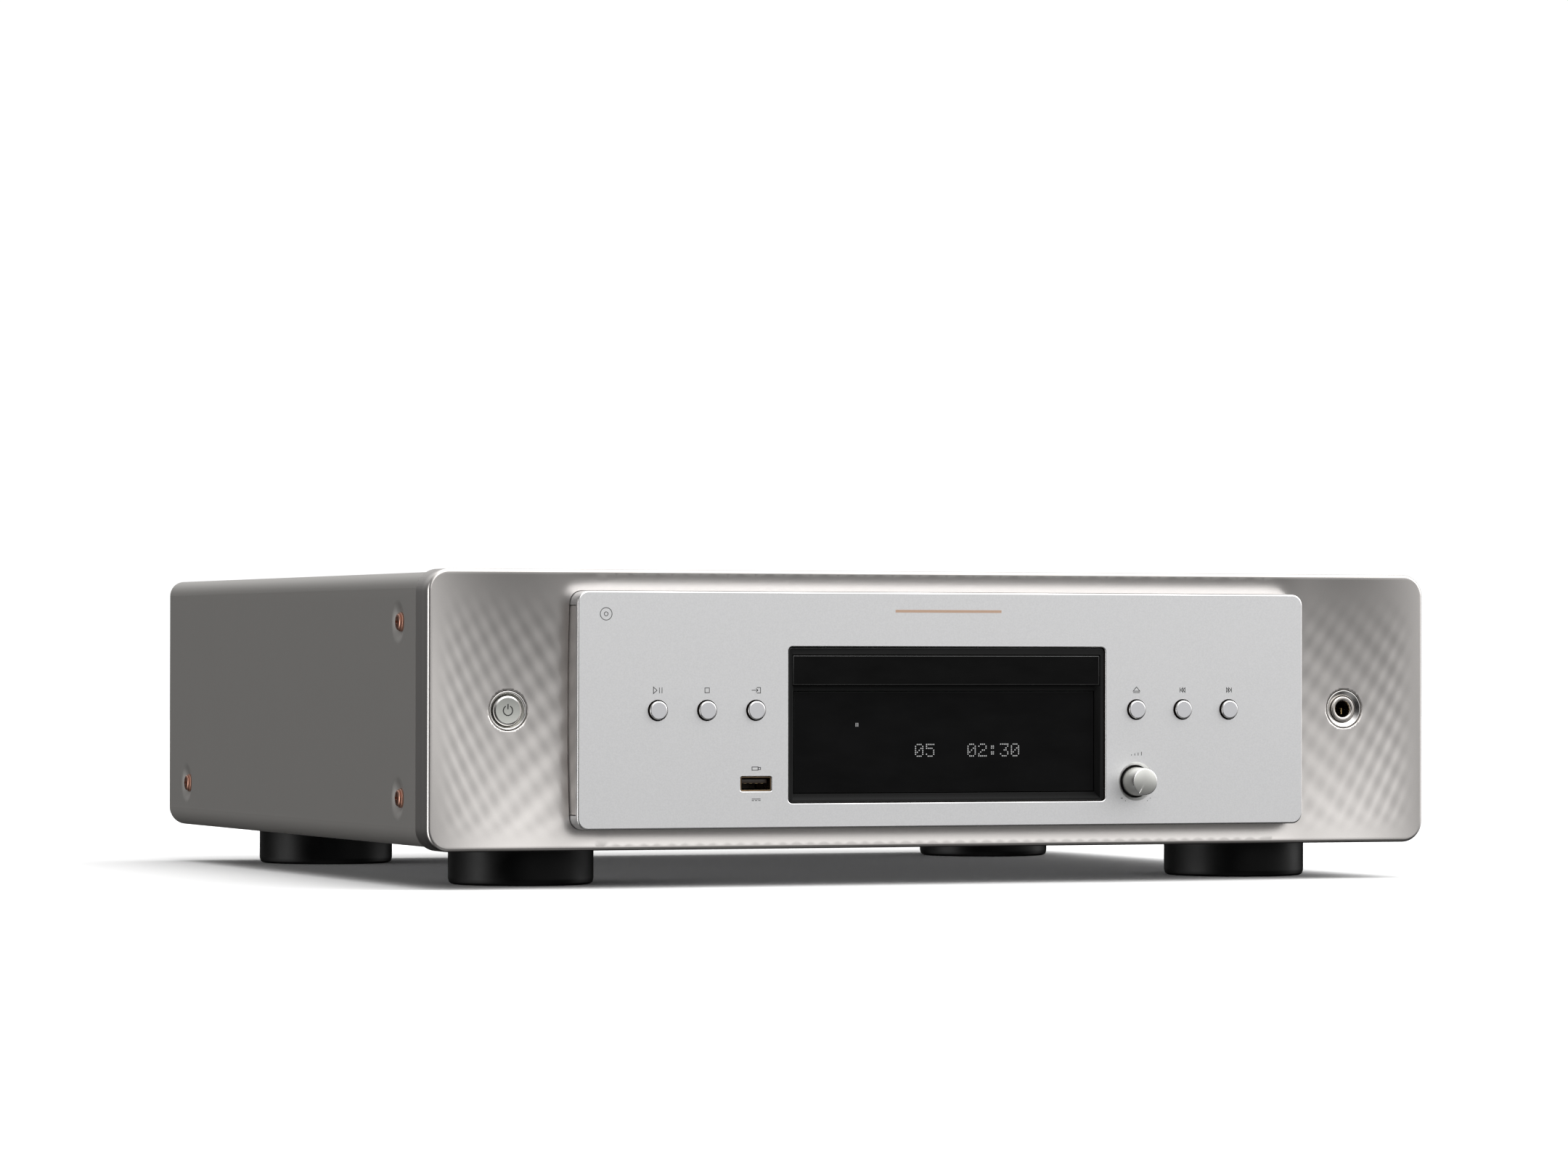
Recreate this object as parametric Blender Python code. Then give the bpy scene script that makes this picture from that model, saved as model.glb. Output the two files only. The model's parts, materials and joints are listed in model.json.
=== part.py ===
"""Full-width hi-fi CD player, as an assembly of separate pieces.

Units are metres and +Z is up. The player's front faces -Y. Every piece hangs from one empty, whose local Y
is measured backwards from the plane of the fascia's rim, and whose X = 0 plane is the player's middle.
The assembly's origin is on the floor, under the middle of its whole length and width.
"""

import math

import bmesh
import bpy
from mathutils import Matrix, Vector

# Driving dimensions of the case
WIDTH = 0.442
HEIGHT = 0.128
CASE_DEPTH = 0.384
KNOB_REACH = 0.0165
TERMINAL_REACH = 0.0095
CLEARANCE = 0.0003

# Fascia: a dished front frame that stands a little proud of the cover
FASCIA_BOTTOM = 0.0152
FASCIA_DEPTH = 0.0159
FASCIA_CORNER = 0.009
FASCIA_EDGE = 0.0014
FASCIA_WALL = 0.003
FASCIA_BACK = 0.0085
FASCIA_MIDDLE = (HEIGHT + FASCIA_BOTTOM) / 2
DISH_DEPTH = 0.0038
WING_DEPTH = 0.0045
WING_START = 0.160
WING_DEEPEST = 0.182
DISH_HALF_WIDTH = WIDTH / 2 - FASCIA_EDGE
DISH_HALF_HEIGHT = (HEIGHT - FASCIA_BOTTOM) / 2 - FASCIA_EDGE

# Cover, a folded sheet that wraps the top, both sides and a lip of the underside
COVER_HALF_WIDTH = 0.2198
COVER_TOP = 0.1268
COVER_BOTTOM = 0.0164
SHEET = 0.0012
COVER_TOP_RADIUS = 0.0065
COVER_BOTTOM_RADIUS = 0.008
COVER_LIP_END = 0.203
COVER_FRONT = FASCIA_DEPTH + CLEARANCE

# Chassis pan and rear panel
PAN_BOTTOM = COVER_BOTTOM + SHEET + CLEARANCE
PAN_HALF_WIDTH = 0.2162
PAN_CORNER = 0.005
PAN_FRONT = 0.0165
PAN_REAR = 0.3806
PAN_FLANGE_TOP = 0.046
PAN_CORNER_TOP = 0.115
PAN_CORNER_REAR = 0.056
PAN_TOP = PAN_BOTTOM + SHEET
REAR_PANEL_FRONT = 0.3812
REAR_PANEL_BACK = REAR_PANEL_FRONT + SHEET

# Side screws, in round dished dimples of the cover
SCREW_ROWS = ((0.0430, 0.1069), (0.0430, 0.0358), (0.3558, 0.0358))
SCREW_HEAD_RADIUS = 0.0039
SCREW_HEAD_HEIGHT = 0.0022
SCREW_SHANK_RADIUS = 0.0018
SCREW_SHANK_END = 0.2120
SCREW_HOLE_RADIUS = 0.0022
SCREW_HOLE = (0.210, 0.222)
DIMPLE_RADIUS = 0.0089
DIMPLE_FLOOR_RADIUS = 0.0054
DIMPLE_DEPTH = 0.0021

# Feet
FOOT_RADIUS = 0.0298
FOOT_TAPER = 0.0022
FOOT_SOLE_RADIUS = 0.0276
FOOT_X = 0.1614
FOOT_ROWS = (0.0602, 0.3318)
FOOT_TOP = PAN_BOTTOM - CLEARANCE

# Centre plate, a shallow box open at the back, with a light guide let into each end
PLATE_HALF_WIDTH = 0.1607
PLATE_BOTTOM = 0.0237
PLATE_TOP = 0.1193
PLATE_FRONT = -0.0076
PLATE_BACK = 0.0042
PLATE_CORNER = 0.0046
PLATE_EDGE = 0.0006
PLATE_WALL = 0.0028
PLATE_SKIN = 0.003
PLATE_SEAT = PLATE_BACK + CLEARANCE
GUIDE_BOTTOM = 0.0293
GUIDE_TOP = 0.1137
GUIDE_FRONT = -0.0053
GUIDE_THICKNESS = 0.0026

# Window in the centre plate, with the tray slot above and the display below
WINDOW_HALF_WIDTH = 0.0703
WINDOW_BOTTOM = 0.0337
WINDOW_TOP = 0.0971
WINDOW_CORNER = 0.0018
WINDOW_LOW = (-WINDOW_HALF_WIDTH, WINDOW_BOTTOM)
WINDOW_HIGH = (WINDOW_HALF_WIDTH, WINDOW_TOP)
TRIM_GAP = 0.0004
TRIM_FRONT = -0.0068
TRIM_BACK = 0.0080
SLOT_HALF_WIDTH = 0.0683
SLOT_BOTTOM = 0.0813
SLOT_TOP = 0.0939
SCREEN_HALF_WIDTH = 0.0668
SCREEN_BOTTOM = 0.0375
SCREEN_TOP = 0.0792
SCREEN_FRONT = -0.0039
SCREEN_THICKNESS = 0.0015
MODULE_HALF_WIDTH = 0.0460
MODULE_BOTTOM = 0.0430
MODULE_TOP = 0.0745
MODULE_BACK = 0.0125

# Buttons, knob, sockets on the front
CONTROL_Z = 0.0714
BUTTON_OFFSETS = (0.0844, 0.1055, 0.1266)
CONTROL_EDGE = 0.0004
BUTTON_NAMES = (
    ("button_input", "button_stop", "button_play_pause"),
    ("button_eject", "button_previous", "button_next"),
)
BUTTON_RADIUS = 0.0039
BUTTON_HOLE_RADIUS = 0.0042
BUTTON_FRONT = -0.0090
BUTTON_SKIRT = -0.0036
BUTTON_STEM_RADIUS = 0.0022
BUTTON_STEM_HOLE = 0.0030
BUTTON_STEM_END = 0.0090
KNOB_X = 0.0844
KNOB_Z = 0.0417
KNOB_FACE_RADIUS = 0.0055
KNOB_BASE_RADIUS = 0.0061
KNOB_BASE = -0.0040
KNOB_HOLE_RADIUS = 0.0068
KNOB_SINK_RADIUS = 0.0079
KNOB_POINTER = (0.0022, 0.0047)
KNOB_POINTER_HALF_WIDTH = 0.0003
KNOB_POINTER_TURN = math.radians(30)
KNOB_SHAFT_RADIUS = 0.0030
KNOB_SHAFT_END = 0.0130
KNOB_SHAFT_HOLE = 0.0036
POT_HALF_SIZE = 0.0060
POT_FRONT = 0.0088
POT_BACK = 0.0136
USB_X = -0.0843
USB_Z = 0.0417
USB_OPENING = (0.0135, 0.0060)
USB_SHELL = (0.0131, 0.0056)
USB_SHELL_WALL = 0.0003
USB_BOARD_HOLE = (0.0140, 0.0064)
USB_CORNER = 0.0008
USB_FRONT = -0.0073
USB_BACK = 0.0135
USB_TONGUE_FRONT = -0.0053
USB_TONGUE_Z = (0.0419, 0.0436)
WING_X = 0.186
WING_HOLE_RADIUS = 0.0082
RING_RADIUS = 0.0079
RING_FRONT = 0.0044
RING_BACK = 0.0118
RING_LIP = 0.0009
RING_DISH = 0.0012
POWER_BORE = 0.0064
POWER_RADIUS = 0.0061
POWER_FRONT = 0.0042
POWER_BACK = 0.0090
POWER_EDGE = 0.0007
POWER_STEM_END = 0.0125
POWER_SWITCH_HALF_SIZE = 0.007
POWER_SWITCH_Y = (0.0145, 0.0240)
JACK_BORE = 0.0032
JACK_SLEEVE_RADIUS = 0.0054
JACK_RING_BORE = 0.0057
JACK_FRONT = 0.0049
JACK_SLEEVE_BACK = 0.0160
JACK_BODY_HALF_SIZE = 0.0078
JACK_BODY_Y = (0.0125, 0.0320)
JACK_BORE_Y = (0.0100, 0.0300)

# Board behind the fascia
BOARD = 0.0016
FRONT_BOARD_FRONT = 0.0140
FRONT_BOARD_HALF_WIDTH = 0.1480
FRONT_BOARD_Z = (0.0300, 0.1150)
SWITCH_FRONT = 0.0101
SWITCH_HALF_SIZE = 0.0030

# Disc loader: the tray slides forwards on the loader frame's ledges
DISC_Y = 0.068
DOOR_HALF_WIDTH = 0.0680
DOOR_BOTTOM = 0.0816
DOOR_TOP = 0.0936
DOOR_FRONT = -0.0066
DOOR_BACK = -0.0040
TRAY_HALF_WIDTH = 0.0668
TRAY_BOTTOM = 0.0820
TRAY_TOP = 0.0915
TRAY_FRONT = DOOR_BACK + CLEARANCE
TRAY_REAR = 0.1800
DISC_RECESS_RADIUS = 0.0605
DISC_RECESS_FLOOR = 0.0875
SMALL_DISC_RADIUS = 0.0405
SMALL_DISC_FLOOR = 0.0865
TRAY_SLOT_HALF_WIDTH = 0.0195
LOADER_FRONT = 0.0200
LOADER_REAR = 0.1850
LOADER_BASE = 0.0600
LOADER_PLATE = 0.0025
LOADER_HALF_WIDTH = 0.0740
LOADER_WALL = 0.0025
LOADER_WALL_TOP = 0.0960
LEDGE_INNER = 0.0640
LEDGE_THICKNESS = 0.0040
LEG_SIZE = 0.010

# Loading drive: a pinion turned through a belt, in mesh with a rack in a groove of the tray's underside
GEAR_MODULE = 0.001
GEAR_TEETH = 20
PITCH_RADIUS = GEAR_MODULE * GEAR_TEETH / 2
TOOTH_PITCH = math.pi * GEAR_MODULE
GEAR_AT = (-0.040, 0.0375)
GEAR_Z = (0.0823, 0.0849)
GEAR_HUB_RADIUS = 0.0030
GROOVE_TOP = 0.0852
GROOVE_SIDE = -0.0282
RACK_TEETH = 50
WHEEL_RADIUS = 0.014
WHEEL_Z = (0.0632, 0.0680)
PULLEY_AT = (-0.058, 0.066)
PULLEY_RADIUS = 0.0040
BELT_THICKNESS = 0.0008
BELT_Z = (0.0648, 0.0666)
LOADING_MOTOR_RADIUS = 0.010
LOADING_MOTOR_Z = (0.0380, 0.0590)

# Traverse: spindle motor, turntable, laser sled on two rods, and its lead screw
TRAVERSE_HALF_WIDTH = 0.033
TRAVERSE_Y = (0.053, 0.150)
TRAVERSE_Z = (0.0658, 0.0673)
TRAVERSE_EAR_X = (0.0310, 0.0450)
TRAVERSE_EAR_YS = (0.078, 0.132)
TRAVERSE_EAR_LENGTH = 0.010
ROD_POST = 0.003
LOADER_WINDOW_MARGIN = 0.003
SPINDLE_MOTOR_RADIUS = 0.012
SPINDLE_MOTOR_TOP = 0.0790
TURNTABLE_RADIUS = 0.0145
TURNTABLE_Z = (0.0845, 0.0868)
HUB_RADIUS = 0.0074
HUB_TOP = 0.0896
ROD_X = 0.019
ROD_Z = 0.0745
ROD_RADIUS = 0.0015
SLED_FRONT = 0.0835
SLED_LENGTH = 0.020
SLED_X = (-0.0225, 0.0245)
SLED_Z = (0.0700, 0.0790)
LENS_RADIUS = 0.0045
LENS_TOP = 0.0850
SCREW_X = 0.027
LEAD_SCREW_RADIUS = 0.0018
LEAD_SCREW_Y = (0.0600, 0.1510)
SLED_MOTOR_RADIUS = 0.0075
SLED_MOTOR_Y = (0.1514, 0.1690)
SLED_MOTOR_FLAT = TRAY_BOTTOM - 0.0006

# Clamp over the disc
BRIDGE_Z = (0.0975, 0.0987)
BRIDGE_HALF_WIDTH = 0.0757
BRIDGE_HALF_LENGTH = 0.016
BRIDGE_FOOT = 0.0780
PUCK_HOLE_RADIUS = 0.0125
PUCK_RADIUS = 0.0115
PUCK_FLANGE_RADIUS = 0.0150
PUCK_BOTTOM = 0.0905
PUCK_TOP = 0.1006

# Boards and transformer on the pan
STANDOFF_RADIUS = 0.003
STANDOFF_MARGIN = 0.006
MAIN_BOARD_X = (0.085, 0.205)
MAIN_BOARD_Y = (0.190, 0.360)
POWER_BOARD_X = (-0.205, -0.090)
POWER_BOARD_Y = (0.190, 0.340)
BOARD_Z = 0.0260
MAIN_CANS = tuple((0.110 + 0.022 * i, 0.215, 0.008, 0.025) for i in range(4))
POWER_CANS = tuple((-0.180 + 0.030 * i, 0.225, 0.011, 0.035) for i in range(3))
TRANSFORMER_AT = (-0.145, 0.115)
TRANSFORMER_RADIUS = 0.042
TRANSFORMER_BORE = 0.012
TRANSFORMER_TOP = 0.058
TRANSFORMER_EDGE = 0.006

# Sockets on the rear panel
REAR_ROW_Z = 0.072
INLET_X = -0.168
INLET_Z = 0.062
INLET_CAVITY = (0.0245, 0.0168)
INLET_HOUSING = (0.0280, 0.0210)
INLET_FLANGE = (0.0500, 0.0240)
INLET_FRONT = 0.3640
INLET_FLOOR = 0.003
INLET_PINS = ((-0.007, 0.001), (0.007, 0.001), (0, 0.005))
INLET_PIN_HALF = (0.001, 0.002)
BARREL_RADIUS = 0.0042
BARREL_HOLE = 0.0048
BARREL_BORE = 0.0016
SOCKET_DEPTH = 0.009
SOCKET_HALF_HEIGHT = 0.009
BARREL_END = CASE_DEPTH + TERMINAL_REACH
SOCKET_BLOCK_Y = (0.3640, 0.3806)
ANALOGUE_XS = (0.150, 0.172)
DIGITAL_X = 0.085
OPTICAL_X = 0.105
OPTICAL_SIZE = 0.0098
OPTICAL_WALL = 0.001
OPTICAL_Y = (0.3790, 0.3850)
REMOTE_XS = (0.020, 0.038)

RIM_Y = KNOB_REACH - (KNOB_REACH + CASE_DEPTH + TERMINAL_REACH) / 2
FEW_SIDES = 12
SMALL_SIDES = 16
ROUND_SIDES = 24
LARGE_SIDES = 32
DISC_SIDES = 48
SMOOTH_ANGLE = math.radians(35)

# Finishes as (base colour, roughness, metallic)
SILVER = ((0.70, 0.68, 0.66), 0.35, 0.9)
PALE_SILVER = ((0.76, 0.76, 0.76), 0.45, 0.8)
COVER_METAL = ((0.45, 0.43, 0.41), 0.45, 0.8)
COPPER = ((0.62, 0.30, 0.22), 0.30, 1.0)
BLACK_PLASTIC = ((0.02, 0.02, 0.02), 0.45, 0.0)
GLOSS_BLACK = ((0.012, 0.012, 0.012), 0.08, 0.0)
GREY_PLASTIC = ((0.25, 0.25, 0.26), 0.5, 0.0)
STEEL = ((0.55, 0.55, 0.56), 0.35, 1.0)
BOARD_GREEN = ((0.05, 0.22, 0.10), 0.5, 0.0)
ACRYLIC = ((0.55, 0.53, 0.50), 0.25, 0.0)
BRASS = ((0.70, 0.52, 0.25), 0.30, 1.0)
RUBBER = ((0.03, 0.03, 0.03), 0.8, 0.0)


def clear_scene():
    for thing in list(bpy.data.objects):
        bpy.data.objects.remove(thing, do_unlink=True)


def material_of(name, finish):
    colour, roughness, metallic = finish
    material = bpy.data.materials.new(name + "_finish")
    material.use_nodes = True
    shader = material.node_tree.nodes["Principled BSDF"]
    shader.inputs["Base Color"].default_value = (*colour, 1.0)
    shader.inputs["Roughness"].default_value = roughness
    shader.inputs["Metallic"].default_value = metallic
    return material


def place(name, bm, at=(0, 0, 0), finish=None):
    """An object of the player from a finished mesh whose coordinates are relative to the point at."""
    bmesh.ops.recalc_face_normals(bm, faces=bm.faces)
    mesh = bpy.data.meshes.new(name)
    bm.to_mesh(mesh)
    bm.free()
    thing = bpy.data.objects.new(name, mesh)
    thing.location = at
    thing.parent = PLAYER
    bpy.context.scene.collection.objects.link(thing)
    if finish:
        mesh.materials.append(material_of(name, finish))
        mesh.shade_smooth()
        mesh.set_sharp_from_angle(angle=SMOOTH_ANGLE)
    return thing


def helper(name, bm, at=(0, 0, 0)):
    """A shape that only cuts or joins another: it is never part of the player by itself."""
    thing = place(name, bm, at)
    thing.hide_render = True
    thing.display_type = "WIRE"
    return thing


def combine(target, shape, operation):
    modifier = target.modifiers.new(shape.name, "BOOLEAN")
    modifier.operation = operation
    modifier.solver = "EXACT"
    modifier.object = shape


def cut(target, bm, at=(0, 0, 0)):
    combine(target, helper(target.name + "_cutter", bm, at), "DIFFERENCE")


def join(target, bm, at=(0, 0, 0)):
    combine(target, helper(target.name + "_addition", bm, at), "UNION")


def block(low, high):
    """A box between two corners."""
    low = Vector(low)
    high = Vector(high)
    size = high - low
    scaling = Matrix.Diagonal((*size, 1.0))
    bm = bmesh.new()
    bmesh.ops.create_cube(bm, size=1.0, matrix=Matrix.Translation((low + high) / 2) @ scaling)
    return bm


def slab(x_range, y_range, z_range):
    return block((x_range[0], y_range[0], z_range[0]), (x_range[1], y_range[1], z_range[1]))


def mirrored_slabs(target, x_range, y_range, z_range, action):
    """The same box on both sides of the player's middle, cut from or joined to the target."""
    action(target, slab(x_range, y_range, z_range))
    action(target, slab((-x_range[1], -x_range[0]), y_range, z_range))


AXES = {
    "X": lambda across, up, along: Vector((along, across, up)),
    "Y": lambda across, up, along: Vector((across, along, up)),
    "Z": lambda across, up, along: Vector((across, up, along)),
}


def prism(outline, start, end, axis="Y"):
    """A flat outline pushed along an axis. Its two numbers are along the other two axes, in X, Y, Z order."""
    bm = bmesh.new()
    at = AXES[axis]
    first = [bm.verts.new(at(u, v, start)) for u, v in outline]
    last = [bm.verts.new(at(u, v, end)) for u, v in outline]
    bm.faces.new(first)
    bm.faces.new(last)
    count = len(outline)
    for i in range(count):
        j = (i + 1) % count
        bm.faces.new((first[i], first[j], last[j], last[i]))
    return bm


def arc(centre, radius, start, end, steps):
    """Points of an arc between two angles in degrees."""
    points = []
    for i in range(steps + 1):
        angle = math.radians(start + (end - start) * i / steps)
        points.append((centre[0] + radius * math.cos(angle), centre[1] + radius * math.sin(angle)))
    return points


def rounded_rectangle(low, high, radius, steps=5):
    outline = []
    corners = (
        ((high[0] - radius, high[1] - radius), 0),
        ((low[0] + radius, high[1] - radius), 90),
        ((low[0] + radius, low[1] + radius), 180),
        ((high[0] - radius, low[1] + radius), 270),
    )
    for centre, start in corners:
        outline += arc(centre, radius, start, start + 90, steps)
    return outline


def centred_rectangle(centre, size, radius, steps=2):
    low = (centre[0] - size[0] / 2, centre[1] - size[1] / 2)
    high = (centre[0] + size[0] / 2, centre[1] + size[1] / 2)
    return rounded_rectangle(low, high, radius, steps)


def turned(profile, axis="Y", sides=ROUND_SIDES):
    """A turned piece. The profile is (radius, place along the axis); it is closed by the axis where its
    first and last radius are 0, and is otherwise a ring's closed section."""
    bm = bmesh.new()
    at = AXES[axis]
    ring = profile[0][0] > 0
    rows = []
    for radius, along in profile:
        if radius == 0:
            rows.append([bm.verts.new(at(0, 0, along))])
            continue
        row = []
        for i in range(sides):
            angle = 2 * math.pi * i / sides
            row.append(bm.verts.new(at(radius * math.cos(angle), radius * math.sin(angle), along)))
        rows.append(row)
    count = len(rows)
    for k in range(count if ring else count - 1):
        here = rows[k]
        there = rows[(k + 1) % count]
        for i in range(sides):
            j = (i + 1) % sides
            corners = []
            for row, place_in_row in ((here, i), (here, j), (there, j), (there, i)):
                vert = row[place_in_row % len(row)]
                if vert not in corners:
                    corners.append(vert)
            bm.faces.new(corners)
    return bm


def rod(radius, start, end, axis="Y", sides=ROUND_SIDES):
    return turned([(0, start), (radius, start), (radius, end), (0, end)], axis, sides)


def bevel_front(bm, front, width, segments):
    """Rounds the edges that lie in the plane y = front."""
    edges = [e for e in bm.edges if all(abs(v.co.y - front) < 1e-6 for v in e.verts)]
    bmesh.ops.bevel(bm, geom=edges, offset=width, segments=segments, profile=0.5, affect="EDGES")
    return bm


def dish_reach(x):
    """Depth of the fascia's dish at mid height, along the width: level behind the centre plate,
    deepest in the wings, and nothing at the rim."""
    x = abs(x)
    if x <= WING_START:
        return DISH_DEPTH
    if x <= WING_DEEPEST:
        share = (x - WING_START) / (WING_DEEPEST - WING_START)
        return DISH_DEPTH + (WING_DEPTH - DISH_DEPTH) * share * share * (3 - 2 * share)
    share = (x - WING_DEEPEST) / (DISH_HALF_WIDTH - WING_DEEPEST)
    return WING_DEPTH * (1 - share * share)


def dish_cutter():
    """The space in front of the fascia's dished face, as a closed solid."""
    wing_steps = 8
    height_steps = 10
    graze = 0.00005
    ahead = -0.004
    wing = [WING_START + (DISH_HALF_WIDTH - WING_START) * i / wing_steps for i in range(wing_steps + 1)]
    columns = [-x for x in reversed(wing)] + wing
    shares = [-1 + 2 * i / height_steps for i in range(height_steps + 1)]
    bm = bmesh.new()
    surface = []
    for x in columns:
        row = []
        for share in shares:
            depth = dish_reach(x) * (1 - share * share) - graze
            row.append(bm.verts.new((x, depth, FASCIA_MIDDLE + share * DISH_HALF_HEIGHT)))
        surface.append(row)
    for i in range(len(columns) - 1):
        for j in range(height_steps):
            bm.faces.new((surface[i][j], surface[i + 1][j], surface[i + 1][j + 1], surface[i][j + 1]))
    border = [e for e in bm.edges if e.is_boundary]
    grown = bmesh.ops.extrude_edge_only(bm, edges=border)["geom"]
    for vert in (v for v in grown if isinstance(v, bmesh.types.BMVert)):
        vert.co.y = ahead
    lid = [e for e in bm.edges if e.is_boundary]
    bmesh.ops.contextual_create(bm, geom=lid)
    return bm


def make_fascia():
    outer = rounded_rectangle((-WIDTH / 2, FASCIA_BOTTOM), (WIDTH / 2, HEIGHT), FASCIA_CORNER, 6)
    fascia = place("fascia", bevel_front(prism(outer, 0, FASCIA_DEPTH), 0, FASCIA_EDGE, 2), finish=SILVER)
    cut(fascia, dish_cutter())
    inner_low = (-WIDTH / 2 + FASCIA_WALL, FASCIA_BOTTOM + FASCIA_WALL)
    inner_high = (WIDTH / 2 - FASCIA_WALL, HEIGHT - FASCIA_WALL)
    inner = rounded_rectangle(inner_low, inner_high, FASCIA_CORNER - FASCIA_WALL, 4)
    cut(fascia, prism(inner, FASCIA_BACK, FASCIA_DEPTH + 0.004))
    seat_low = (-PLATE_HALF_WIDTH - CLEARANCE, PLATE_BOTTOM - CLEARANCE)
    seat_high = (PLATE_HALF_WIDTH + CLEARANCE, PLATE_TOP + CLEARANCE)
    cut(fascia, prism(rounded_rectangle(seat_low, seat_high, PLATE_CORNER), -0.005, PLATE_SEAT))
    through = (-0.006, FASCIA_DEPTH)
    cut(fascia, prism(rounded_rectangle(WINDOW_LOW, WINDOW_HIGH, WINDOW_CORNER, 3), *through))
    for side in (-1, 1):
        cut(fascia, rod(WING_HOLE_RADIUS, *through), (side * WING_X, 0, CONTROL_Z))
        for offset in BUTTON_OFFSETS:
            cut(fascia, rod(BUTTON_STEM_HOLE, *through, sides=FEW_SIDES), (side * offset, 0, CONTROL_Z))
    cut(fascia, rod(KNOB_SHAFT_HOLE, *through, sides=SMALL_SIDES), (KNOB_X, 0, KNOB_Z))
    cut(fascia, prism(centred_rectangle((USB_X, USB_Z), USB_BOARD_HOLE, USB_CORNER), *through))


def make_centre_plate():
    low = (-PLATE_HALF_WIDTH, PLATE_BOTTOM)
    high = (PLATE_HALF_WIDTH, PLATE_TOP)
    shell = prism(rounded_rectangle(low, high, PLATE_CORNER), PLATE_FRONT, PLATE_BACK)
    plate = place("centre_plate", bevel_front(shell, PLATE_FRONT, PLATE_EDGE, 2), finish=PALE_SILVER)
    inner_low = (low[0] + PLATE_WALL, low[1] + PLATE_WALL)
    inner_high = (high[0] - PLATE_WALL, high[1] - PLATE_WALL)
    hollow = rounded_rectangle(inner_low, inner_high, PLATE_CORNER - PLATE_WALL, 3)
    cut(plate, prism(hollow, PLATE_FRONT + PLATE_SKIN, PLATE_BACK + 0.002))
    guide_x = (PLATE_HALF_WIDTH - 2 * PLATE_WALL, PLATE_HALF_WIDTH + 0.002)
    mirrored_slabs(plate, guide_x, (GUIDE_FRONT, PLATE_BACK + 0.003), (GUIDE_BOTTOM, GUIDE_TOP), cut)
    through = (PLATE_FRONT - 0.002, PLATE_FRONT + PLATE_SKIN + 0.002)
    cut(plate, prism(rounded_rectangle(WINDOW_LOW, WINDOW_HIGH, WINDOW_CORNER, 3), *through))
    for side in (-1, 1):
        for offset in BUTTON_OFFSETS:
            cut(plate, rod(BUTTON_HOLE_RADIUS, *through, sides=SMALL_SIDES), (side * offset, 0, CONTROL_Z))
    # A 45 degree countersink runs down to the knob's hole
    sink_lead = PLATE_FRONT - through[0]
    sink = [
        (0, through[0]),
        (KNOB_SINK_RADIUS + sink_lead, through[0]),
        (KNOB_HOLE_RADIUS, PLATE_FRONT + KNOB_SINK_RADIUS - KNOB_HOLE_RADIUS),
        (KNOB_HOLE_RADIUS, through[1]),
        (0, through[1]),
    ]
    cut(plate, turned(sink), (KNOB_X, 0, KNOB_Z))
    cut(plate, prism(centred_rectangle((USB_X, USB_Z), USB_OPENING, USB_CORNER), *through))


def make_light_guides():
    z_range = (GUIDE_BOTTOM + CLEARANCE, GUIDE_TOP - CLEARANCE)
    outer = PLATE_HALF_WIDTH - 0.0002
    for side, name in ((-1, "light_guide_left"), (1, "light_guide_right")):
        x_range = sorted((side * outer, side * (outer - GUIDE_THICKNESS)))
        place(name, slab(x_range, (GUIDE_FRONT + CLEARANCE, PLATE_BACK), z_range), finish=ACRYLIC)


def make_window():
    low = (-WINDOW_HALF_WIDTH + TRIM_GAP, WINDOW_BOTTOM + TRIM_GAP)
    high = (WINDOW_HALF_WIDTH - TRIM_GAP, WINDOW_TOP - TRIM_GAP)
    frame = prism(rounded_rectangle(low, high, WINDOW_CORNER - TRIM_GAP, 3), TRIM_FRONT, TRIM_BACK)
    trim = place("window_trim", frame, finish=BLACK_PLASTIC)
    through = (TRIM_FRONT - 0.002, TRIM_BACK + 0.002)
    cut(trim, slab((-SLOT_HALF_WIDTH, SLOT_HALF_WIDTH), through, (SLOT_BOTTOM, SLOT_TOP)))
    screen_x = (-SCREEN_HALF_WIDTH, SCREEN_HALF_WIDTH)
    cut(trim, slab(screen_x, through, (SCREEN_BOTTOM, SCREEN_TOP)))
    # Under the tray slot the frame lies back at the screen's depth
    above_screen = (SCREEN_TOP - 0.001, SLOT_BOTTOM + 0.001)
    cut(trim, slab(screen_x, (through[0], SCREEN_FRONT), above_screen))
    sheet_x = (screen_x[0] + CLEARANCE, screen_x[1] - CLEARANCE)
    sheet_y = (SCREEN_FRONT, SCREEN_FRONT + SCREEN_THICKNESS)
    sheet_z = (SCREEN_BOTTOM + CLEARANCE, SCREEN_TOP - CLEARANCE)
    place("display_window", slab(sheet_x, sheet_y, sheet_z), finish=GLOSS_BLACK)
    module_x = (-MODULE_HALF_WIDTH, MODULE_HALF_WIDTH)
    module_y = (sheet_y[1] + CLEARANCE, MODULE_BACK)
    place("display_module", slab(module_x, module_y, (MODULE_BOTTOM, MODULE_TOP)), finish=GREY_PLASTIC)


def make_buttons():
    profile = [
        (0, BUTTON_FRONT),
        (BUTTON_RADIUS - CONTROL_EDGE, BUTTON_FRONT),
        (BUTTON_RADIUS, BUTTON_FRONT + CONTROL_EDGE),
        (BUTTON_RADIUS, BUTTON_SKIRT),
        (BUTTON_STEM_RADIUS, BUTTON_SKIRT),
        (BUTTON_STEM_RADIUS, BUTTON_STEM_END),
        (0, BUTTON_STEM_END),
    ]
    for side, names in zip((-1, 1), BUTTON_NAMES):
        for offset, name in zip(BUTTON_OFFSETS, names):
            place(name, turned(profile, sides=SMALL_SIDES), (side * offset, 0, CONTROL_Z), PALE_SILVER)


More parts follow.
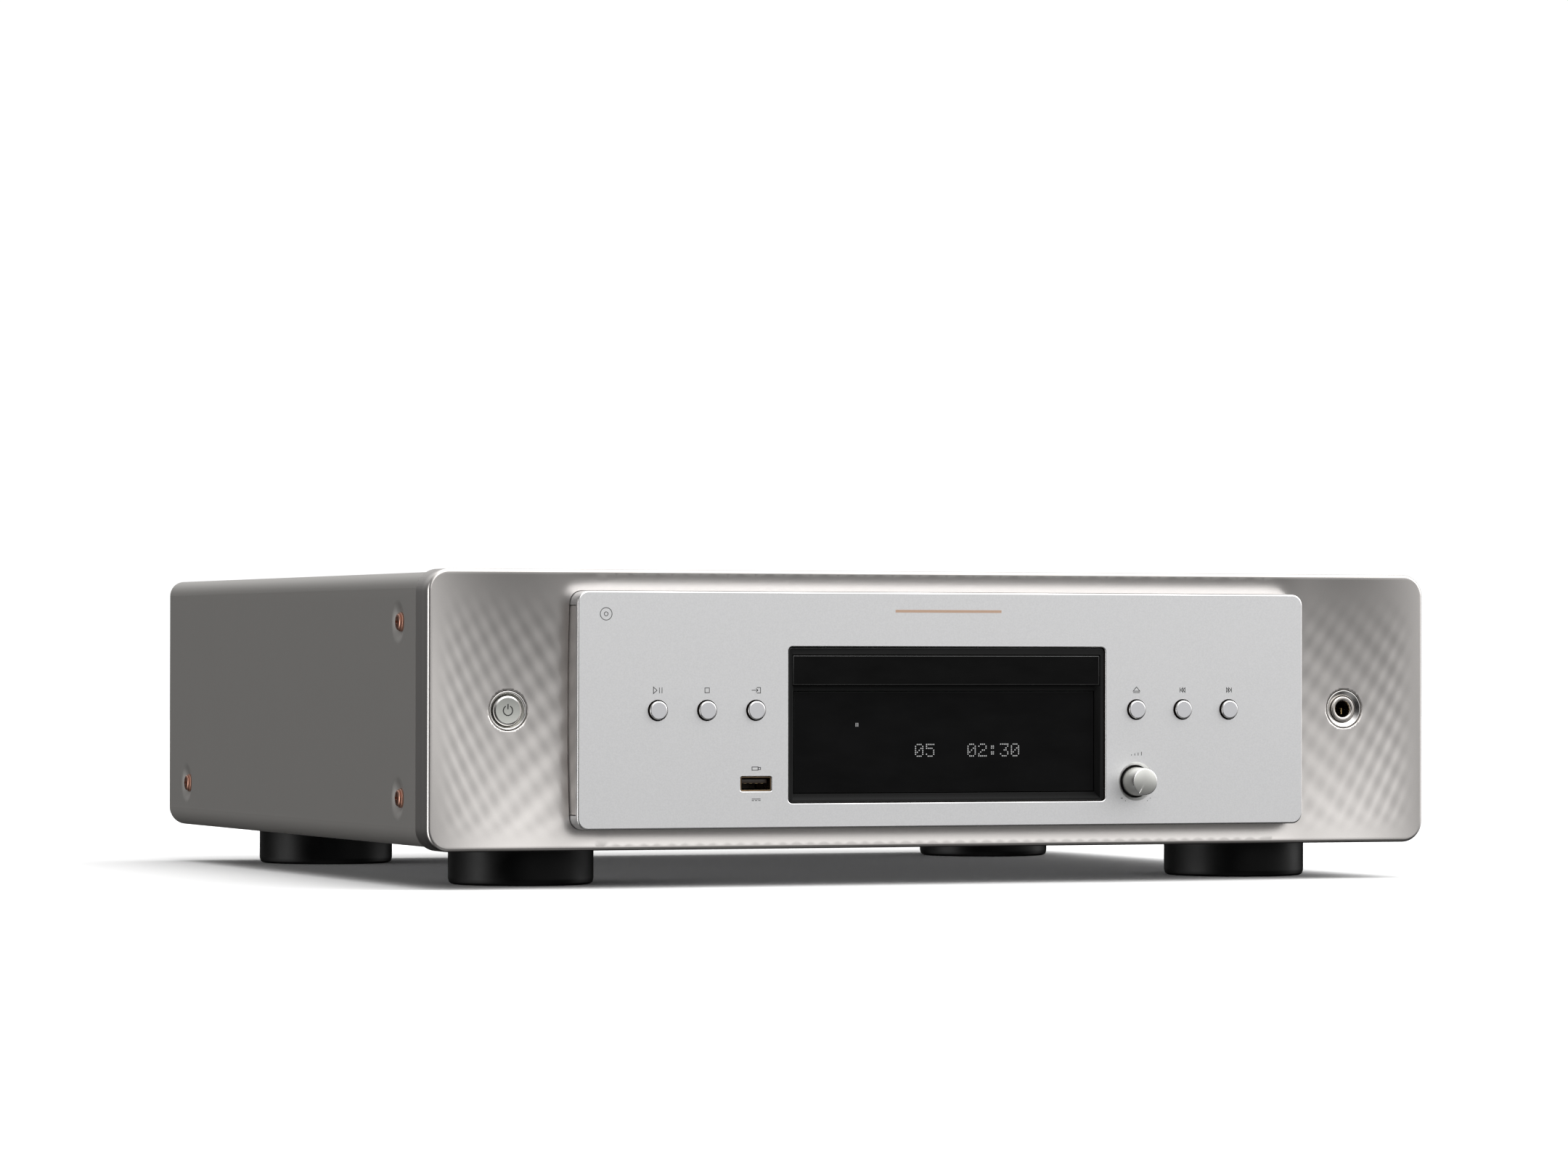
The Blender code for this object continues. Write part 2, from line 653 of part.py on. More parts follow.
def make_knob():
    profile = [
        (0, -KNOB_REACH),
        (KNOB_FACE_RADIUS - CONTROL_EDGE, -KNOB_REACH),
        (KNOB_FACE_RADIUS, -KNOB_REACH + CONTROL_EDGE),
        (KNOB_BASE_RADIUS, KNOB_BASE),
        (KNOB_SHAFT_RADIUS, KNOB_BASE),
        (KNOB_SHAFT_RADIUS, KNOB_SHAFT_END),
        (0, KNOB_SHAFT_END),
    ]
    knob = place("volume_knob", turned(profile), (KNOB_X, 0, KNOB_Z), PALE_SILVER)
    # The pointer groove runs down the face from near its middle to its edge, then turns to the lower left
    groove_low = (-KNOB_POINTER_HALF_WIDTH, -KNOB_REACH - 0.001, -KNOB_POINTER[1])
    groove_high = (KNOB_POINTER_HALF_WIDTH, -KNOB_REACH + 0.0003, -KNOB_POINTER[0])
    groove = block(groove_low, groove_high)
    groove.transform(Matrix.Rotation(KNOB_POINTER_TURN, 4, "Y"))
    cut(knob, groove, (KNOB_X, 0, KNOB_Z))
    low = (KNOB_X - POT_HALF_SIZE, POT_FRONT, KNOB_Z - POT_HALF_SIZE)
    high = (KNOB_X + POT_HALF_SIZE, POT_BACK, KNOB_Z + POT_HALF_SIZE)
    pot = place("volume_pot", block(low, high), finish=STEEL)
    shaft_way = rod(KNOB_SHAFT_RADIUS + CLEARANCE, POT_FRONT - 0.001, POT_BACK + 0.001, sides=SMALL_SIDES)
    cut(pot, shaft_way, (KNOB_X, 0, KNOB_Z))


def make_usb_port():
    centre = (USB_X, USB_Z)
    inside = (USB_SHELL[0] - 2 * USB_SHELL_WALL, USB_SHELL[1] - 2 * USB_SHELL_WALL)
    outside = prism(centred_rectangle(centre, USB_SHELL, 0.0006), USB_FRONT, USB_BACK)
    shell = place("usb_shell", outside, finish=BRASS)
    cut(shell, prism(centred_rectangle(centre, inside, 0.0004), USB_FRONT - 0.001, USB_BACK + 0.001))
    tongue_half = inside[0] / 2 - 0.0008
    tongue_x = (USB_X - tongue_half, USB_X + tongue_half)
    tongue = slab(tongue_x, (USB_TONGUE_FRONT, USB_BACK - 0.001), USB_TONGUE_Z)
    insert = place("usb_tongue", tongue, finish=BLACK_PLASTIC)
    root_size = (inside[0] - 2 * CLEARANCE, inside[1] - 2 * CLEARANCE)
    join(insert, prism(centred_rectangle(centre, root_size, 0.0003), USB_BACK - 0.004, USB_BACK - 0.0005))


def socket_ring(bore):
    """The dished ring of the power button and the headphone socket."""
    return [
        (RING_RADIUS - CLEARANCE, RING_FRONT),
        (RING_RADIUS, RING_FRONT + CLEARANCE),
        (RING_RADIUS, RING_BACK),
        (bore, RING_BACK),
        (bore, RING_FRONT + RING_DISH),
        (RING_RADIUS - RING_LIP, RING_FRONT + 0.0001),
    ]


def make_power_button():
    at = (-WING_X, 0, CONTROL_Z)
    place("power_bezel", turned(socket_ring(POWER_BORE)), at, SILVER)
    cap = [
        (0, POWER_FRONT),
        (POWER_RADIUS - POWER_EDGE, POWER_FRONT),
        (POWER_RADIUS, POWER_FRONT + POWER_EDGE),
        (POWER_RADIUS, POWER_BACK),
        (BUTTON_STEM_RADIUS, POWER_BACK),
        (BUTTON_STEM_RADIUS, POWER_STEM_END),
        (0, POWER_STEM_END),
    ]
    place("power_button", turned(cap), at, PALE_SILVER)
    half = POWER_SWITCH_HALF_SIZE
    switch = slab((-half, half), POWER_SWITCH_Y, (-half, half))
    place("power_switch", switch, at, BLACK_PLASTIC)


def make_headphone_jack():
    at = (WING_X, 0, CONTROL_Z)
    place("headphone_ring", turned(socket_ring(JACK_RING_BORE)), at, SILVER)
    sleeve = [
        (JACK_BORE, JACK_FRONT + CLEARANCE),
        (JACK_BORE + CONTROL_EDGE, JACK_FRONT),
        (JACK_SLEEVE_RADIUS - CONTROL_EDGE, JACK_FRONT),
        (JACK_SLEEVE_RADIUS, JACK_FRONT + CONTROL_EDGE),
        (JACK_SLEEVE_RADIUS, JACK_SLEEVE_BACK),
        (JACK_BORE, JACK_SLEEVE_BACK),
    ]
    jack = place("headphone_jack", turned(sleeve), at, STEEL)
    half = JACK_BODY_HALF_SIZE
    join(jack, slab((-half, half), JACK_BODY_Y, (-half, half)), at)
    cut(jack, rod(JACK_BORE, *JACK_BORE_Y), at)


def make_front_board():
    x_range = (-FRONT_BOARD_HALF_WIDTH, FRONT_BOARD_HALF_WIDTH)
    y_range = (FRONT_BOARD_FRONT, FRONT_BOARD_FRONT + BOARD)
    board = place("front_board", slab(x_range, y_range, FRONT_BOARD_Z), finish=BOARD_GREEN)
    through = (y_range[0] - 0.002, y_range[1] + 0.002)
    tray_gap = 0.0010
    slot_x = (-SLOT_HALF_WIDTH - tray_gap, SLOT_HALF_WIDTH + tray_gap)
    cut(board, slab(slot_x, through, (SLOT_BOTTOM - tray_gap, SLOT_TOP + tray_gap)))
    switch_z = (CONTROL_Z - SWITCH_HALF_SIZE, CONTROL_Z + SWITCH_HALF_SIZE)
    for offset in BUTTON_OFFSETS:
        switch_x = (offset - SWITCH_HALF_SIZE, offset + SWITCH_HALF_SIZE)
        mirrored_slabs(board, switch_x, (SWITCH_FRONT, FRONT_BOARD_FRONT + BOARD / 2), switch_z, join)


def screw_hole(side):
    return rod(SCREW_HOLE_RADIUS, side * SCREW_HOLE[0], side * SCREW_HOLE[1], "X", FEW_SIDES)


def make_cover():
    """One section all along its length: an outline of the cover's outside and back along its inside."""
    def half_section(inset):
        top_radius = COVER_TOP_RADIUS - inset
        low_radius = COVER_BOTTOM_RADIUS - inset
        bottom_corner = (COVER_HALF_WIDTH - COVER_BOTTOM_RADIUS, COVER_BOTTOM + COVER_BOTTOM_RADIUS)
        top_corner = (COVER_HALF_WIDTH - COVER_TOP_RADIUS, COVER_TOP - COVER_TOP_RADIUS)
        points = [(COVER_LIP_END, COVER_BOTTOM + inset)]
        points += arc(bottom_corner, low_radius, -90, 0, 6)
        points += arc(top_corner, top_radius, 0, 90, 6)
        return points

    def full_section(inset):
        right = half_section(inset)
        return right + [(-x, z) for x, z in reversed(right)]

    section = full_section(0) + list(reversed(full_section(SHEET)))
    cover = place("top_cover", prism(section, COVER_FRONT, CASE_DEPTH), finish=COVER_METAL)
    spots = [(side, (0, y, z)) for side in (-1, 1) for y, z in SCREW_ROWS]
    middle = COVER_HALF_WIDTH - SHEET / 2
    floor = COVER_HALF_WIDTH - DIMPLE_DEPTH
    mouth = 0.001
    slope = (DIMPLE_RADIUS - DIMPLE_FLOOR_RADIUS) / DIMPLE_DEPTH
    boss = (
        (0, middle),
        (DIMPLE_RADIUS, middle),
        (DIMPLE_FLOOR_RADIUS + SHEET, floor - SHEET),
        (0, floor - SHEET),
    )
    dimple = (
        (0, COVER_HALF_WIDTH + mouth),
        (DIMPLE_RADIUS + slope * mouth, COVER_HALF_WIDTH + mouth),
        (DIMPLE_FLOOR_RADIUS, floor),
        (0, floor),
    )
    for side, at in spots:
        join(cover, turned([(radius, side * x) for radius, x in boss], "X", SMALL_SIDES), at)
    for side, at in spots:
        cut(cover, turned([(radius, side * x) for radius, x in dimple], "X", SMALL_SIDES), at)
    for side, at in spots:
        cut(cover, screw_hole(side), at)


def make_screws():
    seat = COVER_HALF_WIDTH - DIMPLE_DEPTH + CLEARANCE
    for side, word in ((-1, "left"), (1, "right")):
        for number, (y, z) in enumerate(SCREW_ROWS, 1):
            top = seat + SCREW_HEAD_HEIGHT
            profile = [
                (0, side * top),
                (SCREW_HEAD_RADIUS * 0.6, side * (top - 0.0002)),
                (SCREW_HEAD_RADIUS, side * (top - 0.0010)),
                (SCREW_HEAD_RADIUS, side * seat),
                (SCREW_SHANK_RADIUS, side * seat),
                (SCREW_SHANK_RADIUS, side * SCREW_SHANK_END),
                (0, side * SCREW_SHANK_END),
            ]
            place(f"side_screw_{word}_{number}", turned(profile, "X", SMALL_SIDES), (0, y, z), COPPER)


def make_pan():
    def section(inset, top):
        """The pan's trough: straight sides and rounded lower corners."""
        edge = PAN_HALF_WIDTH - inset
        radius = PAN_CORNER - inset
        centre = (PAN_HALF_WIDTH - PAN_CORNER, PAN_BOTTOM + PAN_CORNER)
        right = arc(centre, radius, -90, 0, 3) + [(edge, top)]
        return right + [(-x, z) for x, z in reversed(right)]

    pan = place("chassis_pan", prism(section(0, PAN_FLANGE_TOP), PAN_FRONT, PAN_REAR), finish=STEEL)
    inner_x = PAN_HALF_WIDTH - SHEET
    cut(pan, prism(section(SHEET, PAN_FLANGE_TOP + 0.01), PAN_FRONT + SHEET, PAN_REAR + 0.01))
    corner_z = (PAN_FLANGE_TOP - 0.005, PAN_CORNER_TOP)
    mirrored_slabs(pan, (inner_x, PAN_HALF_WIDTH), (PAN_FRONT, PAN_CORNER_REAR), corner_z, join)
    for side in (-1, 1):
        for y, z in SCREW_ROWS:
            cut(pan, screw_hole(side), (0, y, z))


def make_feet():
    profile = [
        (0, 0),
        (FOOT_SOLE_RADIUS, 0),
        (FOOT_RADIUS, FOOT_TAPER),
        (FOOT_RADIUS, FOOT_TOP),
        (0, FOOT_TOP),
    ]
    for x, side in ((-FOOT_X, "left"), (FOOT_X, "right")):
        for y, end in zip(FOOT_ROWS, ("front", "rear")):
            place(f"foot_{end}_{side}", turned(profile, "Z", LARGE_SIDES), (x, y, 0), BLACK_PLASTIC)


def make_rear_panel():
    half = COVER_HALF_WIDTH - SHEET - CLEARANCE
    top = COVER_TOP - SHEET - CLEARANCE
    corner = COVER_BOTTOM_RADIUS - SHEET - CLEARANCE
    outline = rounded_rectangle((-half, PAN_BOTTOM), (half, top), corner, 4)
    panel = place("rear_panel", prism(outline, REAR_PANEL_FRONT, REAR_PANEL_BACK), finish=COVER_METAL)
    through = (REAR_PANEL_FRONT - 0.003, REAR_PANEL_BACK + 0.003)
    for x in (*ANALOGUE_XS, *REMOTE_XS, DIGITAL_X):
        cut(panel, rod(BARREL_HOLE, *through, sides=SMALL_SIDES), (x, 0, REAR_ROW_Z))
    optical_hole = (OPTICAL_SIZE + 2 * CLEARANCE, OPTICAL_SIZE + 2 * CLEARANCE)
    cut(panel, prism(centred_rectangle((OPTICAL_X, REAR_ROW_Z), optical_hole, 0.001), *through))
    inlet_hole = (INLET_HOUSING[0] + 2 * CLEARANCE, INLET_HOUSING[1] + 2 * CLEARANCE)
    cut(panel, prism(centred_rectangle((INLET_X, INLET_Z), inlet_hole, 0.001), *through))


def socket_block(name, x_centres, x_margin, finish):
    """A moulded block inside the panel, with a plug barrel through it at each centre."""
    x_range = (min(x_centres) - x_margin, max(x_centres) + x_margin)
    z_range = (REAR_ROW_Z - SOCKET_HALF_HEIGHT, REAR_ROW_Z + SOCKET_HALF_HEIGHT)
    return place(name, slab(x_range, SOCKET_BLOCK_Y, z_range), finish=finish)


def add_barrel(target, x):
    at = (x, 0, REAR_ROW_Z)
    join(target, rod(BARREL_RADIUS, SOCKET_BLOCK_Y[1] - 0.002, BARREL_END, sides=SMALL_SIDES), at)
    cut(target, rod(BARREL_BORE, BARREL_END - SOCKET_DEPTH, BARREL_END + 0.001, sides=FEW_SIDES), at)


def make_rear_sockets():
    analogue = socket_block("analogue_outputs", ANALOGUE_XS, 0.008, BRASS)
    for x in ANALOGUE_XS:
        add_barrel(analogue, x)
    remote = socket_block("remote_jacks", REMOTE_XS, 0.007, BLACK_PLASTIC)
    for x in REMOTE_XS:
        add_barrel(remote, x)
    digital = socket_block("digital_outputs", (DIGITAL_X, OPTICAL_X), 0.007, BLACK_PLASTIC)
    add_barrel(digital, DIGITAL_X)
    centre = (OPTICAL_X, REAR_ROW_Z)
    outside = centred_rectangle(centre, (OPTICAL_SIZE, OPTICAL_SIZE), OPTICAL_WALL)
    join(digital, prism(outside, *OPTICAL_Y))
    mouth_size = OPTICAL_SIZE - 2 * OPTICAL_WALL
    mouth = centred_rectangle(centre, (mouth_size, mouth_size), OPTICAL_WALL / 2)
    cut(digital, prism(mouth, OPTICAL_Y[1] - SOCKET_DEPTH, OPTICAL_Y[1] + 0.001))


def make_ac_inlet():
    centre = (INLET_X, INLET_Z)
    housing = prism(centred_rectangle(centre, INLET_HOUSING, 0.002), INLET_FRONT, REAR_PANEL_BACK + 0.0005)
    inlet = place("ac_inlet", housing, finish=BLACK_PLASTIC)
    flange_y = (REAR_PANEL_BACK + CLEARANCE, REAR_PANEL_BACK + 0.0022)
    join(inlet, prism(centred_rectangle(centre, INLET_FLANGE, 0.003, 3), *flange_y))
    cavity = centred_rectangle(centre, INLET_CAVITY, 0.002)
    cut(inlet, prism(cavity, INLET_FRONT + INLET_FLOOR, flange_y[1] + 0.002))
    pin_y = (INLET_FRONT + INLET_FLOOR / 2, REAR_PANEL_FRONT)
    half_x, half_z = INLET_PIN_HALF
    for x, z in INLET_PINS:
        pin_x = (INLET_X + x - half_x, INLET_X + x + half_x)
        join(inlet, slab(pin_x, pin_y, (INLET_Z + z - half_z, INLET_Z + z + half_z)))


def gear_outline():
    """Straight-flanked teeth. Each is narrower than its gap, for running clearance."""
    outline = []
    tip = PITCH_RADIUS + 0.8 * GEAR_MODULE
    root = PITCH_RADIUS - 1.3 * GEAR_MODULE
    step = 2 * math.pi / GEAR_TEETH
    for tooth in range(GEAR_TEETH):
        middle = math.pi + tooth * step
        for radius, share in ((root, -0.26), (tip, -0.11), (tip, 0.11), (root, 0.26)):
            angle = middle + share * step
            outline.append((radius * math.cos(angle), radius * math.sin(angle)))
    return outline


def groove_outline():
    """The groove in the tray's underside that the pinion runs in. Its left side is the rack, with a gap
    opposite the pinion's middle while the tray is shut."""
    pitch_line = GEAR_AT[0] - PITCH_RADIUS
    tip = pitch_line + 0.8 * GEAR_MODULE
    root = pitch_line - 1.3 * GEAR_MODULE
    start = GEAR_AT[1] - 4 * TOOTH_PITCH
    outline = [(GROOVE_SIDE, start)]
    for tooth in range(RACK_TEETH):
        middle = start + (tooth + 0.5) * TOOTH_PITCH
        for x, share in ((root, -0.26), (tip, -0.11), (tip, 0.11), (root, 0.26)):
            outline.append((x, middle + share * TOOTH_PITCH))
    outline.append((GROOVE_SIDE, start + RACK_TEETH * TOOTH_PITCH))
    return outline


def make_tray():
    x_range = (-TRAY_HALF_WIDTH, TRAY_HALF_WIDTH)
    body = slab(x_range, (TRAY_FRONT, TRAY_REAR), (TRAY_BOTTOM, TRAY_TOP))
    tray = place("disc_tray", body, finish=BLACK_PLASTIC)
    recess_top = TRAY_TOP + 0.002
    at = (0, DISC_Y, 0)
    cut(tray, rod(DISC_RECESS_RADIUS, DISC_RECESS_FLOOR, recess_top, "Z", DISC_SIDES), at)
    cut(tray, rod(SMALL_DISC_RADIUS, SMALL_DISC_FLOOR, recess_top, "Z", DISC_SIDES), at)
    slot_x = (-TRAY_SLOT_HALF_WIDTH, TRAY_SLOT_HALF_WIDTH)
    through = (TRAY_BOTTOM - 0.002, recess_top)
    cut(tray, slab(slot_x, (DISC_Y, TRAY_REAR + 0.002), through))
    cut(tray, rod(TRAY_SLOT_HALF_WIDTH, *through, "Z", LARGE_SIDES), at)
    cut(tray, prism(groove_outline(), TRAY_BOTTOM - 0.001, GROOVE_TOP, "Z"))
    door_x = (-DOOR_HALF_WIDTH, DOOR_HALF_WIDTH)
    door = slab(door_x, (DOOR_FRONT, DOOR_BACK), (DOOR_BOTTOM, DOOR_TOP))
    place("tray_door", bevel_front(door, DOOR_FRONT, 0.0003, 1), finish=GLOSS_BLACK)


def make_loader_frame():
    x_range = (-LOADER_HALF_WIDTH, LOADER_HALF_WIDTH)
    y_range = (LOADER_FRONT, LOADER_REAR)
    base_top = LOADER_BASE + LOADER_PLATE
    trough = slab(x_range, y_range, (LOADER_BASE, LOADER_WALL_TOP))
    frame = place("loader_frame", trough, finish=BLACK_PLASTIC)
    inner = LOADER_HALF_WIDTH - LOADER_WALL
    longer = (LOADER_FRONT - 0.01, LOADER_REAR + 0.01)
    cut(frame, slab((-inner, inner), longer, (base_top, LOADER_WALL_TOP + 0.01)))
    ledge_z = (TRAY_BOTTOM - CLEARANCE - LEDGE_THICKNESS, TRAY_BOTTOM - CLEARANCE)
    mirrored_slabs(frame, (LEDGE_INNER, inner + 0.001), y_range, ledge_z, join)
    window_x = TRAVERSE_HALF_WIDTH + LOADER_WINDOW_MARGIN
    window_y = (TRAVERSE_Y[0] - LOADER_WINDOW_MARGIN, SLED_MOTOR_Y[1] + LOADER_WINDOW_MARGIN)
    cut(frame, slab((-window_x, window_x), window_y, (LOADER_BASE - 0.01, base_top + 0.01)))
    shaft_hole = rod(0.002, LOADER_BASE - 0.01, base_top + 0.01, "Z", FEW_SIDES)
    cut(frame, shaft_hole, (*PULLEY_AT, 0))
    leg_x = (LOADER_HALF_WIDTH - LEG_SIZE, LOADER_HALF_WIDTH)
    leg_z = (PAN_TOP + CLEARANCE, LOADER_BASE + LOADER_PLATE / 2)
    for y in (LOADER_FRONT, LOADER_REAR - LEG_SIZE):
        mirrored_slabs(frame, leg_x, (y, y + LEG_SIZE), leg_z, join)


def belt_outline(clearance):
    """A line drawn tight around the two pulleys, at a given distance from them."""
    big = Vector(GEAR_AT)
    small = Vector(PULLEY_AT)
    along = small - big
    heading = math.degrees(math.atan2(along.y, along.x))
    lean = math.degrees(math.acos((WHEEL_RADIUS - PULLEY_RADIUS) / along.length))
    around_big = arc(big, WHEEL_RADIUS + clearance, heading + lean, heading + 360 - lean, 20)
    around_small = arc(small, PULLEY_RADIUS + clearance, heading - lean, heading + lean, 10)
    return around_big + around_small


def make_loading_drive():
    wheel = [
        (0, WHEEL_Z[0]),
        (WHEEL_RADIUS, WHEEL_Z[0]),
        (WHEEL_RADIUS, WHEEL_Z[1]),
        (GEAR_HUB_RADIUS, WHEEL_Z[1]),
        (GEAR_HUB_RADIUS, GEAR_Z[0] + 0.001),
        (0, GEAR_Z[0] + 0.001),
    ]
    gear = place("drive_gear", turned(wheel, "Z", ROUND_SIDES), (*GEAR_AT, 0), GREY_PLASTIC)
    join(gear, prism(gear_outline(), GEAR_Z[0], GEAR_Z[1], "Z"), (*GEAR_AT, 0))
    pulley = [
        (0, LOADING_MOTOR_Z[1] + CLEARANCE),
        (0.001, LOADING_MOTOR_Z[1] + CLEARANCE),
        (0.001, WHEEL_Z[0]),
        (PULLEY_RADIUS, WHEEL_Z[0]),
        (PULLEY_RADIUS, WHEEL_Z[1]),
        (0, WHEEL_Z[1]),
    ]
    place("motor_pulley", turned(pulley, "Z", SMALL_SIDES), (*PULLEY_AT, 0), GREY_PLASTIC)
    belt = place("drive_belt", prism(belt_outline(CLEARANCE + BELT_THICKNESS), *BELT_Z, "Z"), finish=RUBBER)
    cut(belt, prism(belt_outline(CLEARANCE), BELT_Z[0] - 0.001, BELT_Z[1] + 0.001, "Z"))
    place("loading_motor", rod(LOADING_MOTOR_RADIUS, *LOADING_MOTOR_Z, "Z"), (*PULLEY_AT, 0), STEEL)


def make_traverse():
    x_range = (-TRAVERSE_HALF_WIDTH, TRAVERSE_HALF_WIDTH)
    plate = place("traverse_plate", slab(x_range, TRAVERSE_Y, TRAVERSE_Z), finish=STEEL)
    ear_z = (LOADER_BASE + LOADER_PLATE + CLEARANCE, TRAVERSE_Z[1])
    for y in TRAVERSE_EAR_YS:
        mirrored_slabs(plate, TRAVERSE_EAR_X, (y, y + TRAVERSE_EAR_LENGTH), ear_z, join)
    post_z = (TRAVERSE_Z[0], ROD_Z + ROD_POST)
    post_x = (ROD_X - ROD_POST, ROD_X + ROD_POST)
    for start in (TRAVERSE_Y[0], TRAVERSE_Y[1] - ROD_POST):
        mirrored_slabs(plate, post_x, (start, start + ROD_POST), post_z, join)
    rod_y = (TRAVERSE_Y[0] + ROD_POST + CLEARANCE, TRAVERSE_Y[1] - ROD_POST - CLEARANCE)
    for x, word in ((-ROD_X, "left"), (ROD_X, "right")):
        place(f"guide_rod_{word}", rod(ROD_RADIUS, *rod_y, sides=FEW_SIDES), (x, 0, ROD_Z), STEEL)
    motor_z = (TRAVERSE_Z[1] + CLEARANCE, SPINDLE_MOTOR_TOP)
    place("spindle_motor", rod(SPINDLE_MOTOR_RADIUS, *motor_z, "Z"), (0, DISC_Y, 0), STEEL)
    table = [
        (0, SPINDLE_MOTOR_TOP + 0.0004),
        (0.0020, SPINDLE_MOTOR_TOP + 0.0004),
        (0.0020, TURNTABLE_Z[0]),
        (TURNTABLE_RADIUS, TURNTABLE_Z[0]),
        (TURNTABLE_RADIUS, TURNTABLE_Z[1]),
        (HUB_RADIUS, TURNTABLE_Z[1]),
        (HUB_RADIUS - 0.0008, HUB_TOP),
        (0, HUB_TOP),
    ]
    place("turntable", turned(table, "Z"), (0, DISC_Y, 0), BLACK_PLASTIC)


def make_sled():
    y_range = (SLED_FRONT, SLED_FRONT + SLED_LENGTH)
    middle = (y_range[0] + y_range[1]) / 2
    sled = place("laser_sled", slab(SLED_X, y_range, SLED_Z), finish=BLACK_PLASTIC)
    for x in (-ROD_X, ROD_X):
        rod_way = rod(ROD_RADIUS + CLEARANCE, y_range[0] - 0.002, y_range[1] + 0.002, sides=FEW_SIDES)
        cut(sled, rod_way, (x, 0, ROD_Z))
    join(sled, rod(LENS_RADIUS, SLED_Z[1] - 0.001, LENS_TOP, "Z", SMALL_SIDES), (0, middle, 0))
    place("lead_screw", rod(LEAD_SCREW_RADIUS, *LEAD_SCREW_Y, sides=SMALL_SIDES), (SCREW_X, 0, ROD_Z), STEEL)
    motor = place("sled_motor", rod(SLED_MOTOR_RADIUS, *SLED_MOTOR_Y), (SCREW_X, 0, ROD_Z), STEEL)
    can_x = (SCREW_X - SLED_MOTOR_RADIUS, SCREW_X + SLED_MOTOR_RADIUS)
    can_y = (SLED_MOTOR_Y[0] - 0.001, SLED_MOTOR_Y[1] + 0.001)
    cut(motor, slab(can_x, can_y, (SLED_MOTOR_FLAT, TRAY_BOTTOM + 0.001)))


def make_clamp():
    y_range = (DISC_Y - BRIDGE_HALF_LENGTH, DISC_Y + BRIDGE_HALF_LENGTH)
    x_range = (-BRIDGE_HALF_WIDTH, BRIDGE_HALF_WIDTH)
    bridge = place("clamp_bridge", slab(x_range, y_range, BRIDGE_Z), finish=STEEL)
    leg_x = (LOADER_HALF_WIDTH + CLEARANCE, BRIDGE_HALF_WIDTH)
    mirrored_slabs(bridge, leg_x, y_range, (BRIDGE_FOOT, BRIDGE_Z[1]), join)
    hole = rod(PUCK_HOLE_RADIUS, BRIDGE_Z[0] - 0.002, BRIDGE_Z[1] + 0.002, "Z")
    cut(bridge, hole, (0, DISC_Y, 0))
    puck = [
        (0, PUCK_BOTTOM),
        (PUCK_RADIUS, PUCK_BOTTOM),
        (PUCK_RADIUS, BRIDGE_Z[1] + CLEARANCE),
        (PUCK_FLANGE_RADIUS, BRIDGE_Z[1] + CLEARANCE),
        (PUCK_FLANGE_RADIUS, PUCK_TOP),
        (0, PUCK_TOP),
    ]
    place("clamp_puck", turned(puck, "Z"), (0, DISC_Y, 0), BLACK_PLASTIC)


def populated_board(name, x_range, y_range, cans):
    """A circuit board on four standoffs, with its tall cans as (x, y, radius, height)."""
    board = place(name, slab(x_range, y_range, (BOARD_Z, BOARD_Z + BOARD)), finish=BOARD_GREEN)
    for x in (x_range[0] + STANDOFF_MARGIN, x_range[1] - STANDOFF_MARGIN):
        for y in (y_range[0] + STANDOFF_MARGIN, y_range[1] - STANDOFF_MARGIN):
            standoff = rod(STANDOFF_RADIUS, PAN_TOP + CLEARANCE, BOARD_Z + BOARD / 2, "Z", FEW_SIDES)
            join(board, standoff, (x, y, 0))
    for x, y, radius, height in cans:
        join(board, rod(radius, BOARD_Z + BOARD / 2, BOARD_Z + BOARD + height, "Z", FEW_SIDES), (x, y, 0))


def make_electronics():
    populated_board("main_board", MAIN_BOARD_X, MAIN_BOARD_Y, MAIN_CANS)
    populated_board("power_board", POWER_BOARD_X, POWER_BOARD_Y, POWER_CANS)
    edge = TRANSFORMER_EDGE
    bottom = PAN_TOP + CLEARANCE
    core = [
        (TRANSFORMER_BORE, bottom + edge),
        (TRANSFORMER_BORE + edge, bottom),
        (TRANSFORMER_RADIUS - edge, bottom),
        (TRANSFORMER_RADIUS, bottom + edge),
        (TRANSFORMER_RADIUS, TRANSFORMER_TOP - edge),
        (TRANSFORMER_RADIUS - edge, TRANSFORMER_TOP),
        (TRANSFORMER_BORE + edge, TRANSFORMER_TOP),
        (TRANSFORMER_BORE, TRANSFORMER_TOP - edge),
    ]
    place("transformer", turned(core, "Z"), (*TRANSFORMER_AT, 0), COPPER)


clear_scene()
PLAYER = bpy.data.objects.new("player", None)
PLAYER.location = (0, RIM_Y, 0)
bpy.context.scene.collection.objects.link(PLAYER)
make_fascia()
make_centre_plate()
make_light_guides()
make_window()
make_buttons()
make_knob()
make_usb_port()
make_power_button()
make_headphone_jack()
make_front_board()
make_cover()
make_screws()
make_pan()
make_feet()
make_rear_panel()
make_rear_sockets()
make_ac_inlet()
make_tray()
make_loader_frame()
make_loading_drive()
make_traverse()
make_sled()
make_clamp()
make_electronics()
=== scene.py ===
"""Looks of a full-width CD player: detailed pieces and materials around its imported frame, with a floor, light
and a camera. Lengths are metres, +Z is up, and the player's front faces -Y."""
import json
import math

import bmesh
import bpy
from mathutils import Matrix, Vector
from mathutils.geometry import delaunay_2d_cdt


